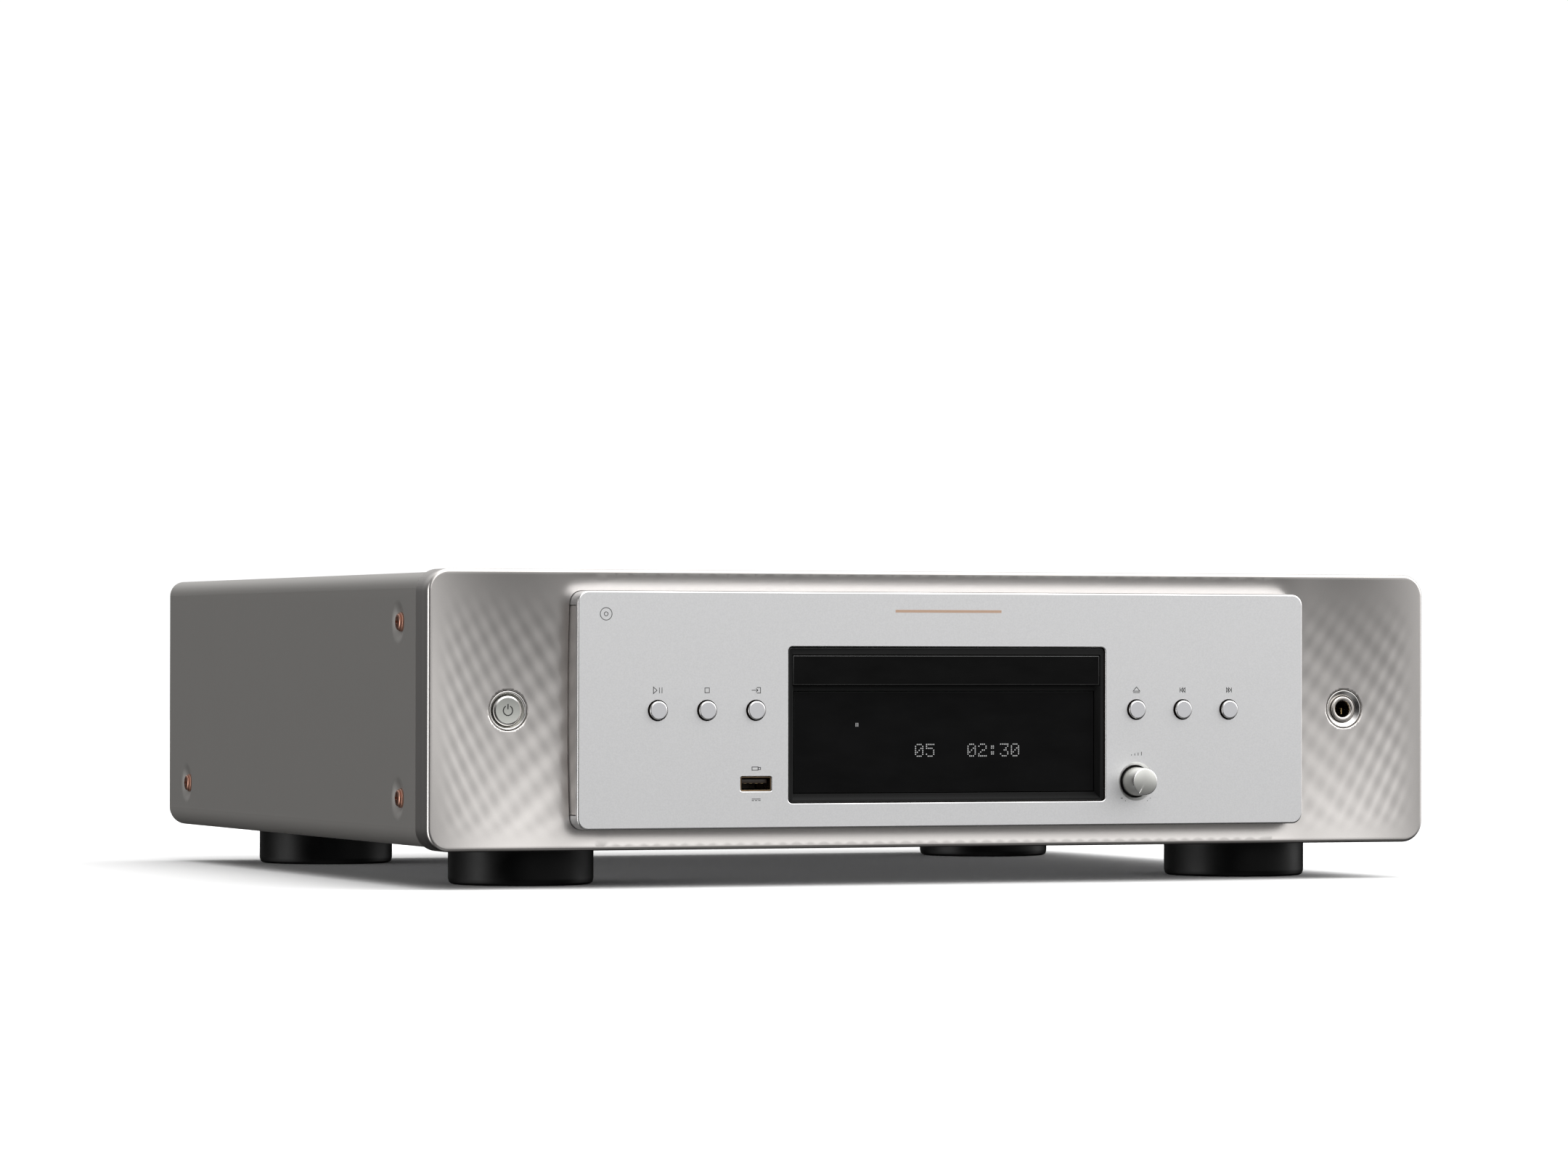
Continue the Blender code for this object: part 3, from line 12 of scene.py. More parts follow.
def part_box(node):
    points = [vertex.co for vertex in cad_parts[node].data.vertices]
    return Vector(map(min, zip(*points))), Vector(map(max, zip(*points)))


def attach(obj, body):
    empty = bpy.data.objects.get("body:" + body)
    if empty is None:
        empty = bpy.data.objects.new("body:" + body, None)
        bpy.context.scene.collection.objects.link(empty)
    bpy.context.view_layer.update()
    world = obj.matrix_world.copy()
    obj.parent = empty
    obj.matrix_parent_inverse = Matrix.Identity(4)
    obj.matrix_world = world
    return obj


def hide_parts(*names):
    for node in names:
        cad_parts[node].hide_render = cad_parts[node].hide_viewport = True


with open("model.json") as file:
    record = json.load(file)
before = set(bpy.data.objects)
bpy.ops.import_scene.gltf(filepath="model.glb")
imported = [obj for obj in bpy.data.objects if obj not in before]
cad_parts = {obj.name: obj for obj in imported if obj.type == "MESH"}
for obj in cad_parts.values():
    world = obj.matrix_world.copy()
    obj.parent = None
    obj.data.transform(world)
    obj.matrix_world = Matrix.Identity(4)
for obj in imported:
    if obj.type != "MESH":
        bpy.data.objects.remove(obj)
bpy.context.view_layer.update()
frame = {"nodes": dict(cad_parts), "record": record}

MM = 0.001
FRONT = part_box("fascia")[0].y
SLOTS = {part["node"]: part["material_slot"] for part in frame["record"]["subparts"]}
BODIES = {
    node: body
    for body, nodes in frame["record"]["behaviour"]["bodies"].items()
    for node in nodes
}

# Depths are measured backwards from the rim of the fascia, as in the part's own frame
FASCIA_CORNER = 9 * MM
FASCIA_EDGE = 1.4 * MM
FASCIA_WALL = 3 * MM
FASCIA_BACK = 8.5 * MM
DISH_DEPTH = 3.8 * MM
WING_DEPTH = 4.5 * MM
WING_DEEPEST = 182 * MM
WING_HOLE = 8.2 * MM
PLATE_CORNER = 4.6 * MM
PLATE_EDGE = 0.6 * MM
PLATE_WALL = 2.8 * MM
PLATE_SKIN = 3 * MM
GAP = 0.3 * MM
WEAR = 0.7 * MM
WINDOW_CORNER = 1.8 * MM
WINDOW_EDGE = 0.4 * MM
TRIM_GAP = 0.4 * MM
BUTTON_HOLE = 4.2 * MM
STEM_HOLE = 3.0 * MM
KNOB_HOLE = 6.8 * MM
KNOB_SINK = 7.9 * MM
SHAFT_HOLE = 3.6 * MM
USB_HALF = (6.75 * MM, 3.0 * MM)
USB_CORNER = 0.8 * MM
SHEET = 1.2 * MM


# ---------------------------------------------------------------- materials

class Shader:
    """A material under construction: short names for adding nodes and joining them."""

    def __init__(self, name):
        self.material = bpy.data.materials.new(name)
        self.material.use_nodes = True
        self.tree = self.material.node_tree
        self.surface = self.tree.nodes["Principled BSDF"]
        self.place = self.node("ShaderNodeTexCoord").outputs["Object"]

    def node(self, kind, **settings):
        made = self.tree.nodes.new(kind)
        for name, value in settings.items():
            setattr(made, name, value)
        return made

    def join(self, output, socket):
        self.tree.links.new(output, socket)

    def set(self, **values):
        """Values of the shader's own sockets, such as roughness=0.4."""
        for name, value in values.items():
            socket = self.surface.inputs[name.replace("_", " ").title().replace("Ior", "IOR")]
            socket.default_value = (*value, 1.0) if isinstance(value, tuple) else value

    def stretched(self, scale):
        """The object's own coordinates, stretched unequally."""
        mapping = self.node("ShaderNodeMapping")
        mapping.inputs["Scale"].default_value = scale
        self.join(self.place, mapping.inputs["Vector"])
        return mapping.outputs["Vector"]

    def noise(self, grain, detail=3.0, roughness=0.55, vector=None):
        """Noise whose cells are about one grain across, in metres."""
        texture = self.node("ShaderNodeTexNoise")
        texture.inputs["Scale"].default_value = 1.0 / grain
        texture.inputs["Detail"].default_value = detail
        texture.inputs["Roughness"].default_value = roughness
        self.join(vector or self.place, texture.inputs["Vector"])
        return texture.outputs["Fac"]

    def ranged(self, value, low, high, start=0.3, end=0.7):
        """The value's span from start to end, moved to low and high."""
        span = self.node("ShaderNodeMapRange")
        span.inputs["From Min"].default_value = start
        span.inputs["From Max"].default_value = end
        span.inputs["To Min"].default_value = low
        span.inputs["To Max"].default_value = high
        self.join(value, span.inputs["Value"])
        return span.outputs["Result"]

    def mix(self, share, first, second):
        """A colour between two others, each a colour or an output."""
        blend = self.node("ShaderNodeMix", data_type="RGBA")
        self.join(share, blend.inputs["Factor"])
        for value, socket in ((first, blend.inputs[6]), (second, blend.inputs[7])):
            if isinstance(value, tuple):
                socket.default_value = (*value, 1.0)
            else:
                self.join(value, socket)
        return blend.outputs[2]

    def colour(self, output):
        self.join(output, self.surface.inputs["Base Color"])

    def rough(self, output):
        self.join(output, self.surface.inputs["Roughness"])

    def bump(self, height, strength, distance, under=None):
        relief = self.node("ShaderNodeBump")
        relief.inputs["Strength"].default_value = strength
        relief.inputs["Distance"].default_value = distance
        self.join(height, relief.inputs["Height"])
        if under:
            self.join(under, relief.inputs["Normal"])
        self.join(relief.outputs["Normal"], self.surface.inputs["Normal"])
        return relief.outputs["Normal"]

    def worn_edges(self, base, worn, strength=0.5):
        """The base colour, turning to the worn one along convex edges."""
        sharpness = self.node("ShaderNodeNewGeometry").outputs["Pointiness"]
        return self.mix(self.ranged(sharpness, 0.0, strength, 0.52, 0.60), base, worn)


def tint(colour, factor):
    return tuple(min(1.0, channel * factor) for channel in colour)


def blasted_metal(name, colour, roughness, grain=0.25 * MM, spread=0.05, metallic=1.0, relief=0.012 * MM):
    """Satin metal with a fine bead-blasted grain, faint clouding and brighter edges."""
    shader = Shader(name)
    shader.set(metallic=metallic)
    speckle = shader.noise(grain, detail=2.0, roughness=0.6)
    clouds = shader.noise(22 * MM, detail=4.0)
    grained = shader.mix(shader.ranged(speckle, 0, 1), tint(colour, 1 - spread), tint(colour, 1 + spread))
    clouded = shader.mix(shader.ranged(clouds, 0, 0.25), grained, tint(colour, 0.96))
    shader.colour(shader.worn_edges(clouded, tint(colour, 1.15)))
    shader.rough(shader.ranged(clouds, roughness - 0.008, roughness + 0.008))
    shader.bump(speckle, 0.5, relief)
    return shader.material


def polished_metal(name, colour, roughness=0.16):
    """Turned or diamond-cut metal, with faint fine marks."""
    shader = Shader(name)
    shader.set(metallic=1.0)
    marks = shader.noise(0.12 * MM, detail=2.0)
    smudges = shader.noise(4 * MM, detail=3.0)
    shader.colour(shader.mix(shader.ranged(smudges, 0, 1), colour, tint(colour, 0.92)))
    shader.rough(shader.ranged(smudges, roughness, roughness + 0.08))
    shader.bump(marks, 0.25, 0.004 * MM)
    return shader.material


def brushed_metal(name, colour, roughness=0.34, along=(1, 1, 0.02)):
    """Rolled sheet metal whose marks run one way."""
    shader = Shader(name)
    shader.set(metallic=1.0)
    marks = shader.noise(0.35 * MM, detail=4.0, vector=shader.stretched(along))
    stains = shader.noise(30 * MM, detail=5.0)
    shader.colour(shader.mix(shader.ranged(stains, 0, 1), colour, tint(colour, 0.86)))
    shader.rough(shader.ranged(marks, roughness - 0.06, roughness + 0.08))
    shader.bump(marks, 0.3, 0.01 * MM)
    return shader.material


def moulded_plastic(name, colour, roughness=0.45, grain=0.3 * MM, relief=0.02 * MM, specular=0.5):
    """Moulded plastic with a fine spark-eroded texture and lightly rubbed edges."""
    shader = Shader(name)
    shader.set(specular_ior_level=specular)
    texture = shader.noise(grain, detail=3.0, roughness=0.6)
    handling = shader.noise(14 * MM, detail=4.0)
    varied = shader.mix(shader.ranged(handling, 0, 1), colour, tuple(c * 1.25 + 0.002 for c in colour))
    shader.colour(shader.worn_edges(varied, tuple(c * 1.6 + 0.02 for c in colour)))
    shader.rough(shader.ranged(handling, roughness - 0.05, roughness + 0.07))
    shader.bump(texture, 0.6, relief)
    return shader.material


def smoked_acrylic(name, colour, roughness=0.12, specular=0.12):
    """Near-black polished acrylic, with faint wiping haze."""
    shader = Shader(name)
    shader.set(specular_ior_level=specular, coat_weight=0.0)
    haze = shader.noise(18 * MM, detail=5.0, vector=shader.stretched((1, 1, 2.2)))
    shader.colour(shader.mix(shader.ranged(haze, 0, 1), colour, tuple(c * 1.5 for c in colour)))
    shader.rough(shader.ranged(haze, roughness, roughness + 0.08))
    shader.bump(shader.noise(6 * MM, detail=2.0), 0.1, 0.01 * MM)
    return shader.material


def circuit_board(name):
    """Green solder mask over copper tracks, with bare solder points."""
    shader = Shader(name)
    shader.set(roughness=0.35)
    tracks = shader.node("ShaderNodeTexBrick")
    tracks.inputs["Scale"].default_value = 1.0
    tracks.inputs["Brick Width"].default_value = 9 * MM
    tracks.inputs["Row Height"].default_value = 2.4 * MM
    tracks.inputs["Mortar Size"].default_value = 0.35 * MM
    tracks.inputs["Color1"].default_value = (0.020, 0.130, 0.055, 1.0)
    tracks.inputs["Color2"].default_value = (0.024, 0.150, 0.062, 1.0)
    tracks.inputs["Mortar"].default_value = (0.055, 0.240, 0.100, 1.0)
    shader.join(shader.place, tracks.inputs["Vector"])
    points = shader.node("ShaderNodeTexVoronoi")
    points.inputs["Scale"].default_value = 1.0 / (5 * MM)
    shader.join(shader.place, points.inputs["Vector"])
    solder = shader.ranged(points.outputs["Distance"], 1.0, 0.0, 0.10, 0.14)
    shader.colour(shader.mix(solder, tracks.outputs["Color"], (0.55, 0.55, 0.56)))
    shader.join(solder, shader.surface.inputs["Metallic"])
    shader.bump(tracks.outputs["Fac"], 0.3, 0.03 * MM)
    return shader.material


def wound_tape(name, colour):
    """Layers of translucent tape wound over copper wire."""
    shader = Shader(name)
    wraps = shader.node("ShaderNodeTexWave", bands_direction="DIAGONAL")
    wraps.inputs["Scale"].default_value = 1.0 / (16 * MM)
    wraps.inputs["Distortion"].default_value = 0.6
    shader.join(shader.place, wraps.inputs["Vector"])
    wear = shader.noise(3 * MM, detail=4.0)
    wrapped = shader.mix(shader.ranged(wraps.outputs["Fac"], 0, 1, 0.2, 0.8), colour, tint(colour, 0.7))
    shader.colour(shader.mix(shader.ranged(wear, 0, 0.4), wrapped, tint(colour, 1.3)))
    shader.rough(shader.ranged(wear, 0.25, 0.45))
    shader.bump(wraps.outputs["Fac"], 0.5, 0.2 * MM)
    return shader.material


def printed_ink(name, colour):
    """Screen-printed ink, slightly uneven."""
    shader = Shader(name)
    edge = shader.noise(0.15 * MM, detail=2.0)
    shader.colour(shader.mix(shader.ranged(edge, 0, 1), colour, tuple(c * 1.5 + 0.01 for c in colour)))
    shader.rough(shader.ranged(edge, 0.45, 0.65))
    shader.bump(edge, 0.2, 0.004 * MM)
    return shader.material


def lit_dots(name, colour, strength):
    """The glowing dots of the display, each a little uneven."""
    shader = Shader(name)
    flicker = shader.noise(0.6 * MM, detail=1.0)
    shader.set(roughness=0.4, emission_strength=strength)
    glow = shader.mix(shader.ranged(flicker, 0, 1), colour, tint(colour, 0.8))
    shader.colour(glow)
    shader.join(glow, shader.surface.inputs["Emission Color"])
    return shader.material


CHAMPAGNE = (0.70, 0.672, 0.650)
SILVER = blasted_metal("satin_silver", CHAMPAGNE, 0.30, grain=0.55 * MM, spread=0.015, relief=0.006 * MM)
PLATE = blasted_metal(
    "blasted_plate", (0.80, 0.80, 0.805), 0.46, grain=0.65 * MM, spread=0.04, relief=0.02 * MM
)
POLISHED = polished_metal("polished_edge", (0.86, 0.855, 0.85))
NICKEL = polished_metal("nickel", (0.78, 0.74, 0.70), 0.12)
GOLD = polished_metal("gold_plate", (0.83, 0.62, 0.30), 0.18)
DARK_BRASS = polished_metal("socket_brass", (0.34, 0.24, 0.15), 0.26)
COPPER = polished_metal("copper_plate", (0.55, 0.30, 0.225), 0.26)
COVER_PAINT = blasted_metal(
    "cover_paint", (0.350, 0.339, 0.325), 0.42, grain=0.6 * MM, spread=0.03, metallic=0.6
)
STEEL = brushed_metal("zinc_steel", (0.60, 0.60, 0.61))
BLACK = moulded_plastic("black_plastic", (0.012, 0.012, 0.012), 0.38, specular=0.3)
FOOT = moulded_plastic(
    "foot_plastic", (0.0025, 0.0025, 0.0025), 0.34, grain=0.25 * MM, relief=0.008 * MM, specular=0.16
)
RUBBER = moulded_plastic("rubber", (0.016, 0.016, 0.016), 0.75, grain=0.6 * MM, relief=0.05 * MM)
SMOKED = smoked_acrylic("smoked_acrylic", (0.0040, 0.0040, 0.0041), specular=0.06)
DOOR = smoked_acrylic("tray_door_black", (0.0038, 0.0038, 0.0038), 0.22, specular=0.06)
GUIDE = blasted_metal("light_guide", (0.60, 0.57, 0.55), 0.34, grain=0.5 * MM, metallic=0.6)
ACETAL = moulded_plastic("natural_acetal", (0.66, 0.65, 0.60), 0.4)
BOARD = circuit_board("circuit_board")
TAPE = wound_tape("winding_tape", (0.52, 0.26, 0.08))
INK = printed_ink("grey_ink", (0.018, 0.018, 0.018))
PALE_INK = printed_ink("pale_ink", (0.62, 0.61, 0.58))
DOTS = lit_dots("display_dots", (0.50, 0.50, 0.50), 0.30)
WHITE_RING = moulded_plastic("white_insulator", (0.80, 0.80, 0.78), 0.4)
RED_RING = moulded_plastic("red_insulator", (0.42, 0.02, 0.02), 0.4)
ORANGE_RING = moulded_plastic("orange_insulator", (0.62, 0.20, 0.02), 0.4)
# Glossier black for the rounded edges of the window trim and the tray door. Its lighter colour is a painted
# highlight along those edges, and its gloss gives a real one
BLACK_EDGE = moulded_plastic("black_edge_gloss_and_painted_highlight", (0.03, 0.03, 0.03), 0.25, specular=0.6)
WINDOW_BLACK = moulded_plastic(
    "window_black", (0.004, 0.004, 0.004), 0.5, grain=0.2 * MM, relief=0.005 * MM, specular=0.08
)
# Painted shade: dark brown on the walls of the plate's openings and the sides of the buttons, for the shade in
# the gaps round them
GAP_SHADE = moulded_plastic("painted_gap_shade", (0.012, 0.008, 0.006), 0.6, specular=0.15)
PLATE_FINE = blasted_metal("button_face", (0.78, 0.78, 0.80), 0.40, grain=0.2 * MM, spread=0.02)
KNOB_METAL = blasted_metal("knob_metal", (0.66, 0.66, 0.63), 0.34, grain=0.2 * MM, spread=0.02)
CAP_METAL = blasted_metal("power_cap", (0.66, 0.67, 0.63), 0.34, grain=0.2 * MM, spread=0.02)
RING_METAL = blasted_metal("ring_metal", (0.78, 0.765, 0.745), 0.24, grain=0.5 * MM, spread=0.02)
# Painted highlight: near-white colour on the floor of the knob's engraved pointer, for the bright line it shows
GROOVE = printed_ink("pointer_painted_highlight", (0.90, 0.90, 0.88))
USB_BROWN = moulded_plastic("usb_insulator", (0.030, 0.020, 0.014), 0.35)
COPPER_SATIN = polished_metal("copper_satin", (0.80, 0.56, 0.42), 0.30)

SLOT_MATERIALS = {
    "satin_silver": SILVER,
    "plate_silver": PLATE,
    "cover_paint": COVER_PAINT,
    "copper_plate": COPPER,
    "black_plastic": BLACK,
    "gloss_black": SMOKED,
    "light_guide": GUIDE,
    "steel": STEEL,
    "circuit_board": BOARD,
    "gear_plastic": ACETAL,
    "belt_rubber": RUBBER,
    "foot_plastic": FOOT,
    "gold_plate": GOLD,
    "transformer_wrap": TAPE,
}


# ---------------------------------------------------------------- shapes

class Outline:
    """A rounded rectangle that faces the front. One whose corners take up its whole size is a circle."""

    def __init__(self, centre, half, radius, steps=6, spacing=None):
        self.spacing = spacing
        self.centre = centre
        self.radius = radius
        self.steps = steps
        self.straight = (half[0] - radius, half[1] - radius)

    def points(self, offset=0.0):
        """Its points when grown by offset, anticlockwise. Their number is the same for every offset."""
        round_whole = max(self.straight) < 1e-9
        count = self.steps if round_whole else self.steps + 1
        reach = self.radius + offset
        found = []
        for quarter, (side_x, side_z) in enumerate(((1, 1), (-1, 1), (-1, -1), (1, -1))):
            x = self.centre[0] + side_x * self.straight[0]
            z = self.centre[1] + side_z * self.straight[1]
            for i in range(count):
                angle = math.pi / 2 * (quarter + i / self.steps)
                found.append((x + reach * math.cos(angle), z + reach * math.sin(angle)))
            if self.spacing:
                length = 2 * self.straight[quarter % 2]
                parts = round(length / self.spacing)
                way = ((-1, 0), (0, -1), (1, 0), (0, 1))[quarter]
                start = found[-1]
                for i in range(1, parts):
                    walked = length * i / parts
                    found.append((start[0] + way[0] * walked, start[1] + way[1] * walked))
        return found

    def distance(self, x, z):
        """How far a point is outside the outline. It is negative inside."""
        across = abs(x - self.centre[0]) - self.straight[0]
        up = abs(z - self.centre[1]) - self.straight[1]
        outside = math.hypot(max(across, 0.0), max(up, 0.0))
        return outside + min(max(across, up), 0.0) - self.radius


def circle(centre, radius, steps=8):
    return Outline(centre, (radius, radius), radius, steps)


def between(low, high, radius, steps=6, spacing=None):
    """The outline of a box between two corners, as seen from the front."""
    centre = ((low[0] + high[0]) / 2, (low[-1] + high[-1]) / 2)
    half = ((high[0] - low[0]) / 2, (high[-1] - low[-1]) / 2)
    return Outline(centre, half, radius, steps, spacing)


def ring(bm, points, depth):
    """Vertices at these places of the front. The depth is a number, or a function of the place."""
    made = []
    for x, z in points:
        behind = depth(x, z) if callable(depth) else depth
        made.append(bm.verts.new((x, FRONT + behind, z)))
    return made


def bridge(bm, first, second, material=0):
    for i in range(len(first)):
        j = (i + 1) % len(first)
        face = bm.faces.new((first[i], first[j], second[j], second[i]))
        face.material_index = material


def sweep(bm, outline, steps, material=0):
    """Joined rings of one outline, one for each (offset, depth), first to last."""
    rings = [ring(bm, outline.points(offset), depth) for offset, depth in steps]
    for first, second in zip(rings, rings[1:]):
        bridge(bm, first, second, material)
    return rings


def rounding(radius, front, steps=4, hole=False):
    """Steps of a rounded edge from the front face onto a side wall."""
    side = 1 if hole else -1
    found = []
    for i in range(steps + 1):
        angle = math.pi / 2 * i / steps
        found.append((side * radius * (1 - math.sin(angle)), front + radius * (1 - math.cos(angle))))
    return found


def is_within(x, z, corners):
    """Whether a point is inside a polygon."""
    inside = False
    for (x1, z1), (x2, z2) in zip(corners, corners[1:] + corners[:1]):
        if (z1 > z) != (z2 > z) and x < x1 + (x2 - x1) * (z - z1) / (z2 - z1):
            inside = not inside
    return inside


def fill(bm, outer, holes=(), inside=(), depth=0.0, material=0):
    """Triangles between a ring and the rings within it, through the places inside."""
    rings = [outer, *holes]
    border = [vert for loop in rings for vert in loop]
    flat = [Vector((vert.co.x, vert.co.z)) for vert in border]
    edges = []
    start = 0
    for loop in rings:
        edges += [(start + i, start + (i + 1) % len(loop)) for i in range(len(loop))]
        start += len(loop)
    flat += [Vector(place) for place in inside]
    found, _, faces, origins, _, _ = delaunay_2d_cdt(flat, edges, [], 1, 1e-7)
    corners = [[(vert.co.x, vert.co.z) for vert in loop] for loop in holes]
    boxes = [(min(loop), max(loop), min(z for _, z in loop), max(z for _, z in loop)) for loop in corners]
    verts = []
    for place, origin in zip(found, origins):
        known = [i for i in origin if i < len(border)]
        verts.append(border[known[0]] if known else ring(bm, [tuple(place)], depth)[0])
    for face in faces:
        x = sum(found[i].x for i in face) / 3
        z = sum(found[i].y for i in face) / 3
        near = [
            loop
            for loop, (left, right, low, high) in zip(corners, boxes)
            if left[0] < x < right[0] and low < z < high
        ]
        if any(is_within(x, z, loop) for loop in near):
            continue
        made = bm.faces.new([verts[i] for i in face])
        made.material_index = material


def rows(low, high, spacing, keep):
    """Staggered rows of places between two corners, without those that keep refuses."""
    found = []
    z = low[1]
    shifted = False
    while z < high[1]:
        x = low[0] + (spacing[0] / 2 if shifted else 0.0)
        while x < high[0]:
            if keep(x, z):
                found.append((x, z))
            x += spacing[0]
        z += spacing[1]
        shifted = not shifted
    return found


def put(name, bm):
    """Adds a shape to the scene as an object."""
    mesh = bpy.data.meshes.new(name)
    bm.to_mesh(mesh)
    bm.free()
    made = bpy.data.objects.new(name, mesh)
    bpy.context.scene.collection.objects.link(made)
    return made


def shade(thing, crease):
    """Smooth shading, broken at edges sharper than the crease in degrees."""
    thing.data.shade_smooth()
    thing.data.set_sharp_from_angle(angle=math.radians(crease))


def stand_for(node):
    """Hides the CAD node that an object stands for."""
    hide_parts(node)


def piece(name, bm, materials, node=None, body=None, crease=40):
    """An object of the player. It stands for the node given. Without one, it is an extra on the body."""
    bmesh.ops.recalc_face_normals(bm, faces=bm.faces)
    made = put(name, bm)
    for material in materials if isinstance(materials, (list, tuple)) else (materials,):
        made.data.materials.append(material)
    shade(made, crease)
    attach(made, body or BODIES[node])
    if node:
        stand_for(node)
    return made


def add_to(bm, part):
    """Adds one shape to another, and frees it."""
    mesh = bpy.data.meshes.new("added")
    part.to_mesh(mesh)
    part.free()
    bm.from_mesh(mesh)
    bpy.data.meshes.remove(mesh)


def settle(thing):
    """Applies the modifiers and keeps the result as the object's own mesh."""
    graph = bpy.context.evaluated_depsgraph_get()
    done = bpy.data.meshes.new_from_object(thing.evaluated_get(graph))
    thing.modifiers.clear()
    thing.data = done


def flatten(thing):
    """Shades faces that look straight along an axis as flat, by making their borders sharp."""
    bm = bmesh.new()
    bm.from_mesh(thing.data)
    for edge in bm.edges:
        straight = {max(map(abs, face.normal)) > 0.99995 for face in edge.link_faces}
        if len(straight) == 2:
            edge.smooth = False
    bm.to_mesh(thing.data)
    bm.free()


def mark_bevels(bm, material=1):
    """Gives the faces of rounded edges another material than the flat ones."""
    bm.normal_update()
    for face in bm.faces:
        if max(map(abs, face.normal)) < 0.999:
            face.material_index = material
    return bm


def block(low, high, rounding_radius=0.0, segments=2):
    """A box between two corners, with rounded edges."""
    low = Vector(low)
    high = Vector(high)
    bm = bmesh.new()
    scaling = Matrix.Diagonal((*(high - low), 1.0))
    bmesh.ops.create_cube(bm, size=1.0, matrix=Matrix.Translation((low + high) / 2) @ scaling)
    if rounding_radius:
        edges = list(bm.edges)
        bmesh.ops.bevel(
            bm, geom=edges, offset=rounding_radius, segments=segments, profile=0.5, affect="EDGES"
        )
    return bm


AXES = {
    "X": lambda across, up, along: (along, across, up),
    "Y": lambda across, up, along: (across, along, up),
    "Z": lambda across, up, along: (across, up, along),
}


def turned(profile, centre, axis="Y", sides=64, bm=None, materials=None):
    """A turned shape about an axis through centre. The profile is (radius, place along the axis); a ring
    has no radius of 0. materials gives one index for each stretch of the profile."""
    bm = bm or bmesh.new()
    at = AXES[axis]
    offset = Vector(centre)
    is_ring = profile[0][0] > 0
    loops = []
    for radius, along in profile:
        places = 1 if radius == 0 else sides
        loop = []
        for i in range(places):
            angle = 2 * math.pi * i / sides
            spot = at(radius * math.cos(angle), radius * math.sin(angle), along)
            loop.append(bm.verts.new(offset + Vector(spot)))
        loops.append(loop)
    stretches = len(loops) if is_ring else len(loops) - 1
    for k in range(stretches):
        here = loops[k]
        there = loops[(k + 1) % len(loops)]
        for i in range(sides):
            j = (i + 1) % sides
            corners = []
            for loop, index in ((here, i), (here, j), (there, j), (there, i)):
                vert = loop[index % len(loop)]
                if vert not in corners:
                    corners.append(vert)
            face = bm.faces.new(corners)
            face.material_index = materials[k] if materials else 0
    return bm


def soft_corners(profile, radius, steps=3):
    """A turned profile whose inner corners are rounded off. Points on the axis and the ends stay."""
    found = [profile[0]]
    for before, here, after in zip(profile, profile[1:], profile[2:]):
        spot = Vector(here)
        back = Vector(before) - spot
        ahead = Vector(after) - spot
        reach = min(radius, back.length / 2.2, ahead.length / 2.2)
        start = spot + back.normalized() * reach
        end = spot + ahead.normalized() * reach
        for i in range(steps + 1):
            share = i / steps
            bent = start * (1 - share) ** 2 + spot * 2 * share * (1 - share) + end * share ** 2
            found.append((max(bent.x, 0.0), bent.y))
    found.append(profile[-1])
    return found


def ribbon(bm, points, width, depth, thickness, closed=False, material=0):
    """A flat drawn line of even width on the front, with mitred corners. The points are (x, z)."""
    spots = [Vector(point) for point in points]
    count = len(spots)
    left = []
    right = []
    for i, spot in enumerate(spots):
        before = spots[i - 1] if closed or i else None
        after = spots[(i + 1) % count] if closed or i < count - 1 else None
        ways = []
        if before is not None:
            ways.append((spot - before).normalized())
        if after is not None:
            ways.append((after - spot).normalized())
        way = sum(ways, Vector((0, 0))).normalized()
        normal = Vector((-way.y, way.x))
        square = Vector((-ways[0].y, ways[0].x))
        reach = width / 2 / max(normal.dot(square), 0.35)
        left.append(spot + normal * reach)
        right.append(spot - normal * reach)
    layers = []
    for behind in (depth, depth + thickness):
        layers.append((ring(bm, left, behind), ring(bm, right, behind)))
    (front_left, front_right), (back_left, back_right) = layers
    for i in range(count if closed else count - 1):
        j = (i + 1) % count
        quads = (
            (front_left[i], front_left[j], front_right[j], front_right[i]),
            (back_left[i], back_left[j], back_right[j], back_right[i]),
            (front_left[i], front_left[j], back_left[j], back_left[i]),
            (front_right[i], front_right[j], back_right[j], back_right[i]),
        )
        for quad in quads:
            bm.faces.new(quad).material_index = material
    if not closed:
        for i in (0, -1):
            end = (front_left[i], front_right[i], back_right[i], back_left[i])
            bm.faces.new(end).material_index = material


def arc(centre, radius, start, end, steps=24):
    """Points of an arc between two angles in degrees, anticlockwise as seen from the front."""
    found = []
    for i in range(steps + 1):
        angle = math.radians(start + (end - start) * i / steps)
        found.append((centre[0] + radius * math.cos(angle), centre[1] + radius * math.sin(angle)))
    return found


def smooth_step(value, start, end):
    share = min(1.0, max(0.0, (value - start) / (end - start)))
    return share * share * (3 - 2 * share)


def cut(thing, bm, operation="DIFFERENCE"):
    """Cuts a shape out of an object, or joins it on, and keeps the result."""
    bmesh.ops.recalc_face_normals(bm, faces=bm.faces)
    cutter = put("cutter", bm)
    mesh = cutter.data
    modifier = thing.modifiers.new("cut", "BOOLEAN")
    modifier.operation = operation
    modifier.solver = "EXACT"
    modifier.object = cutter
    settle(thing)
    bpy.data.objects.remove(cutter)
    bpy.data.meshes.remove(mesh)


# ---------------------------------------------------------------- places read from the frame

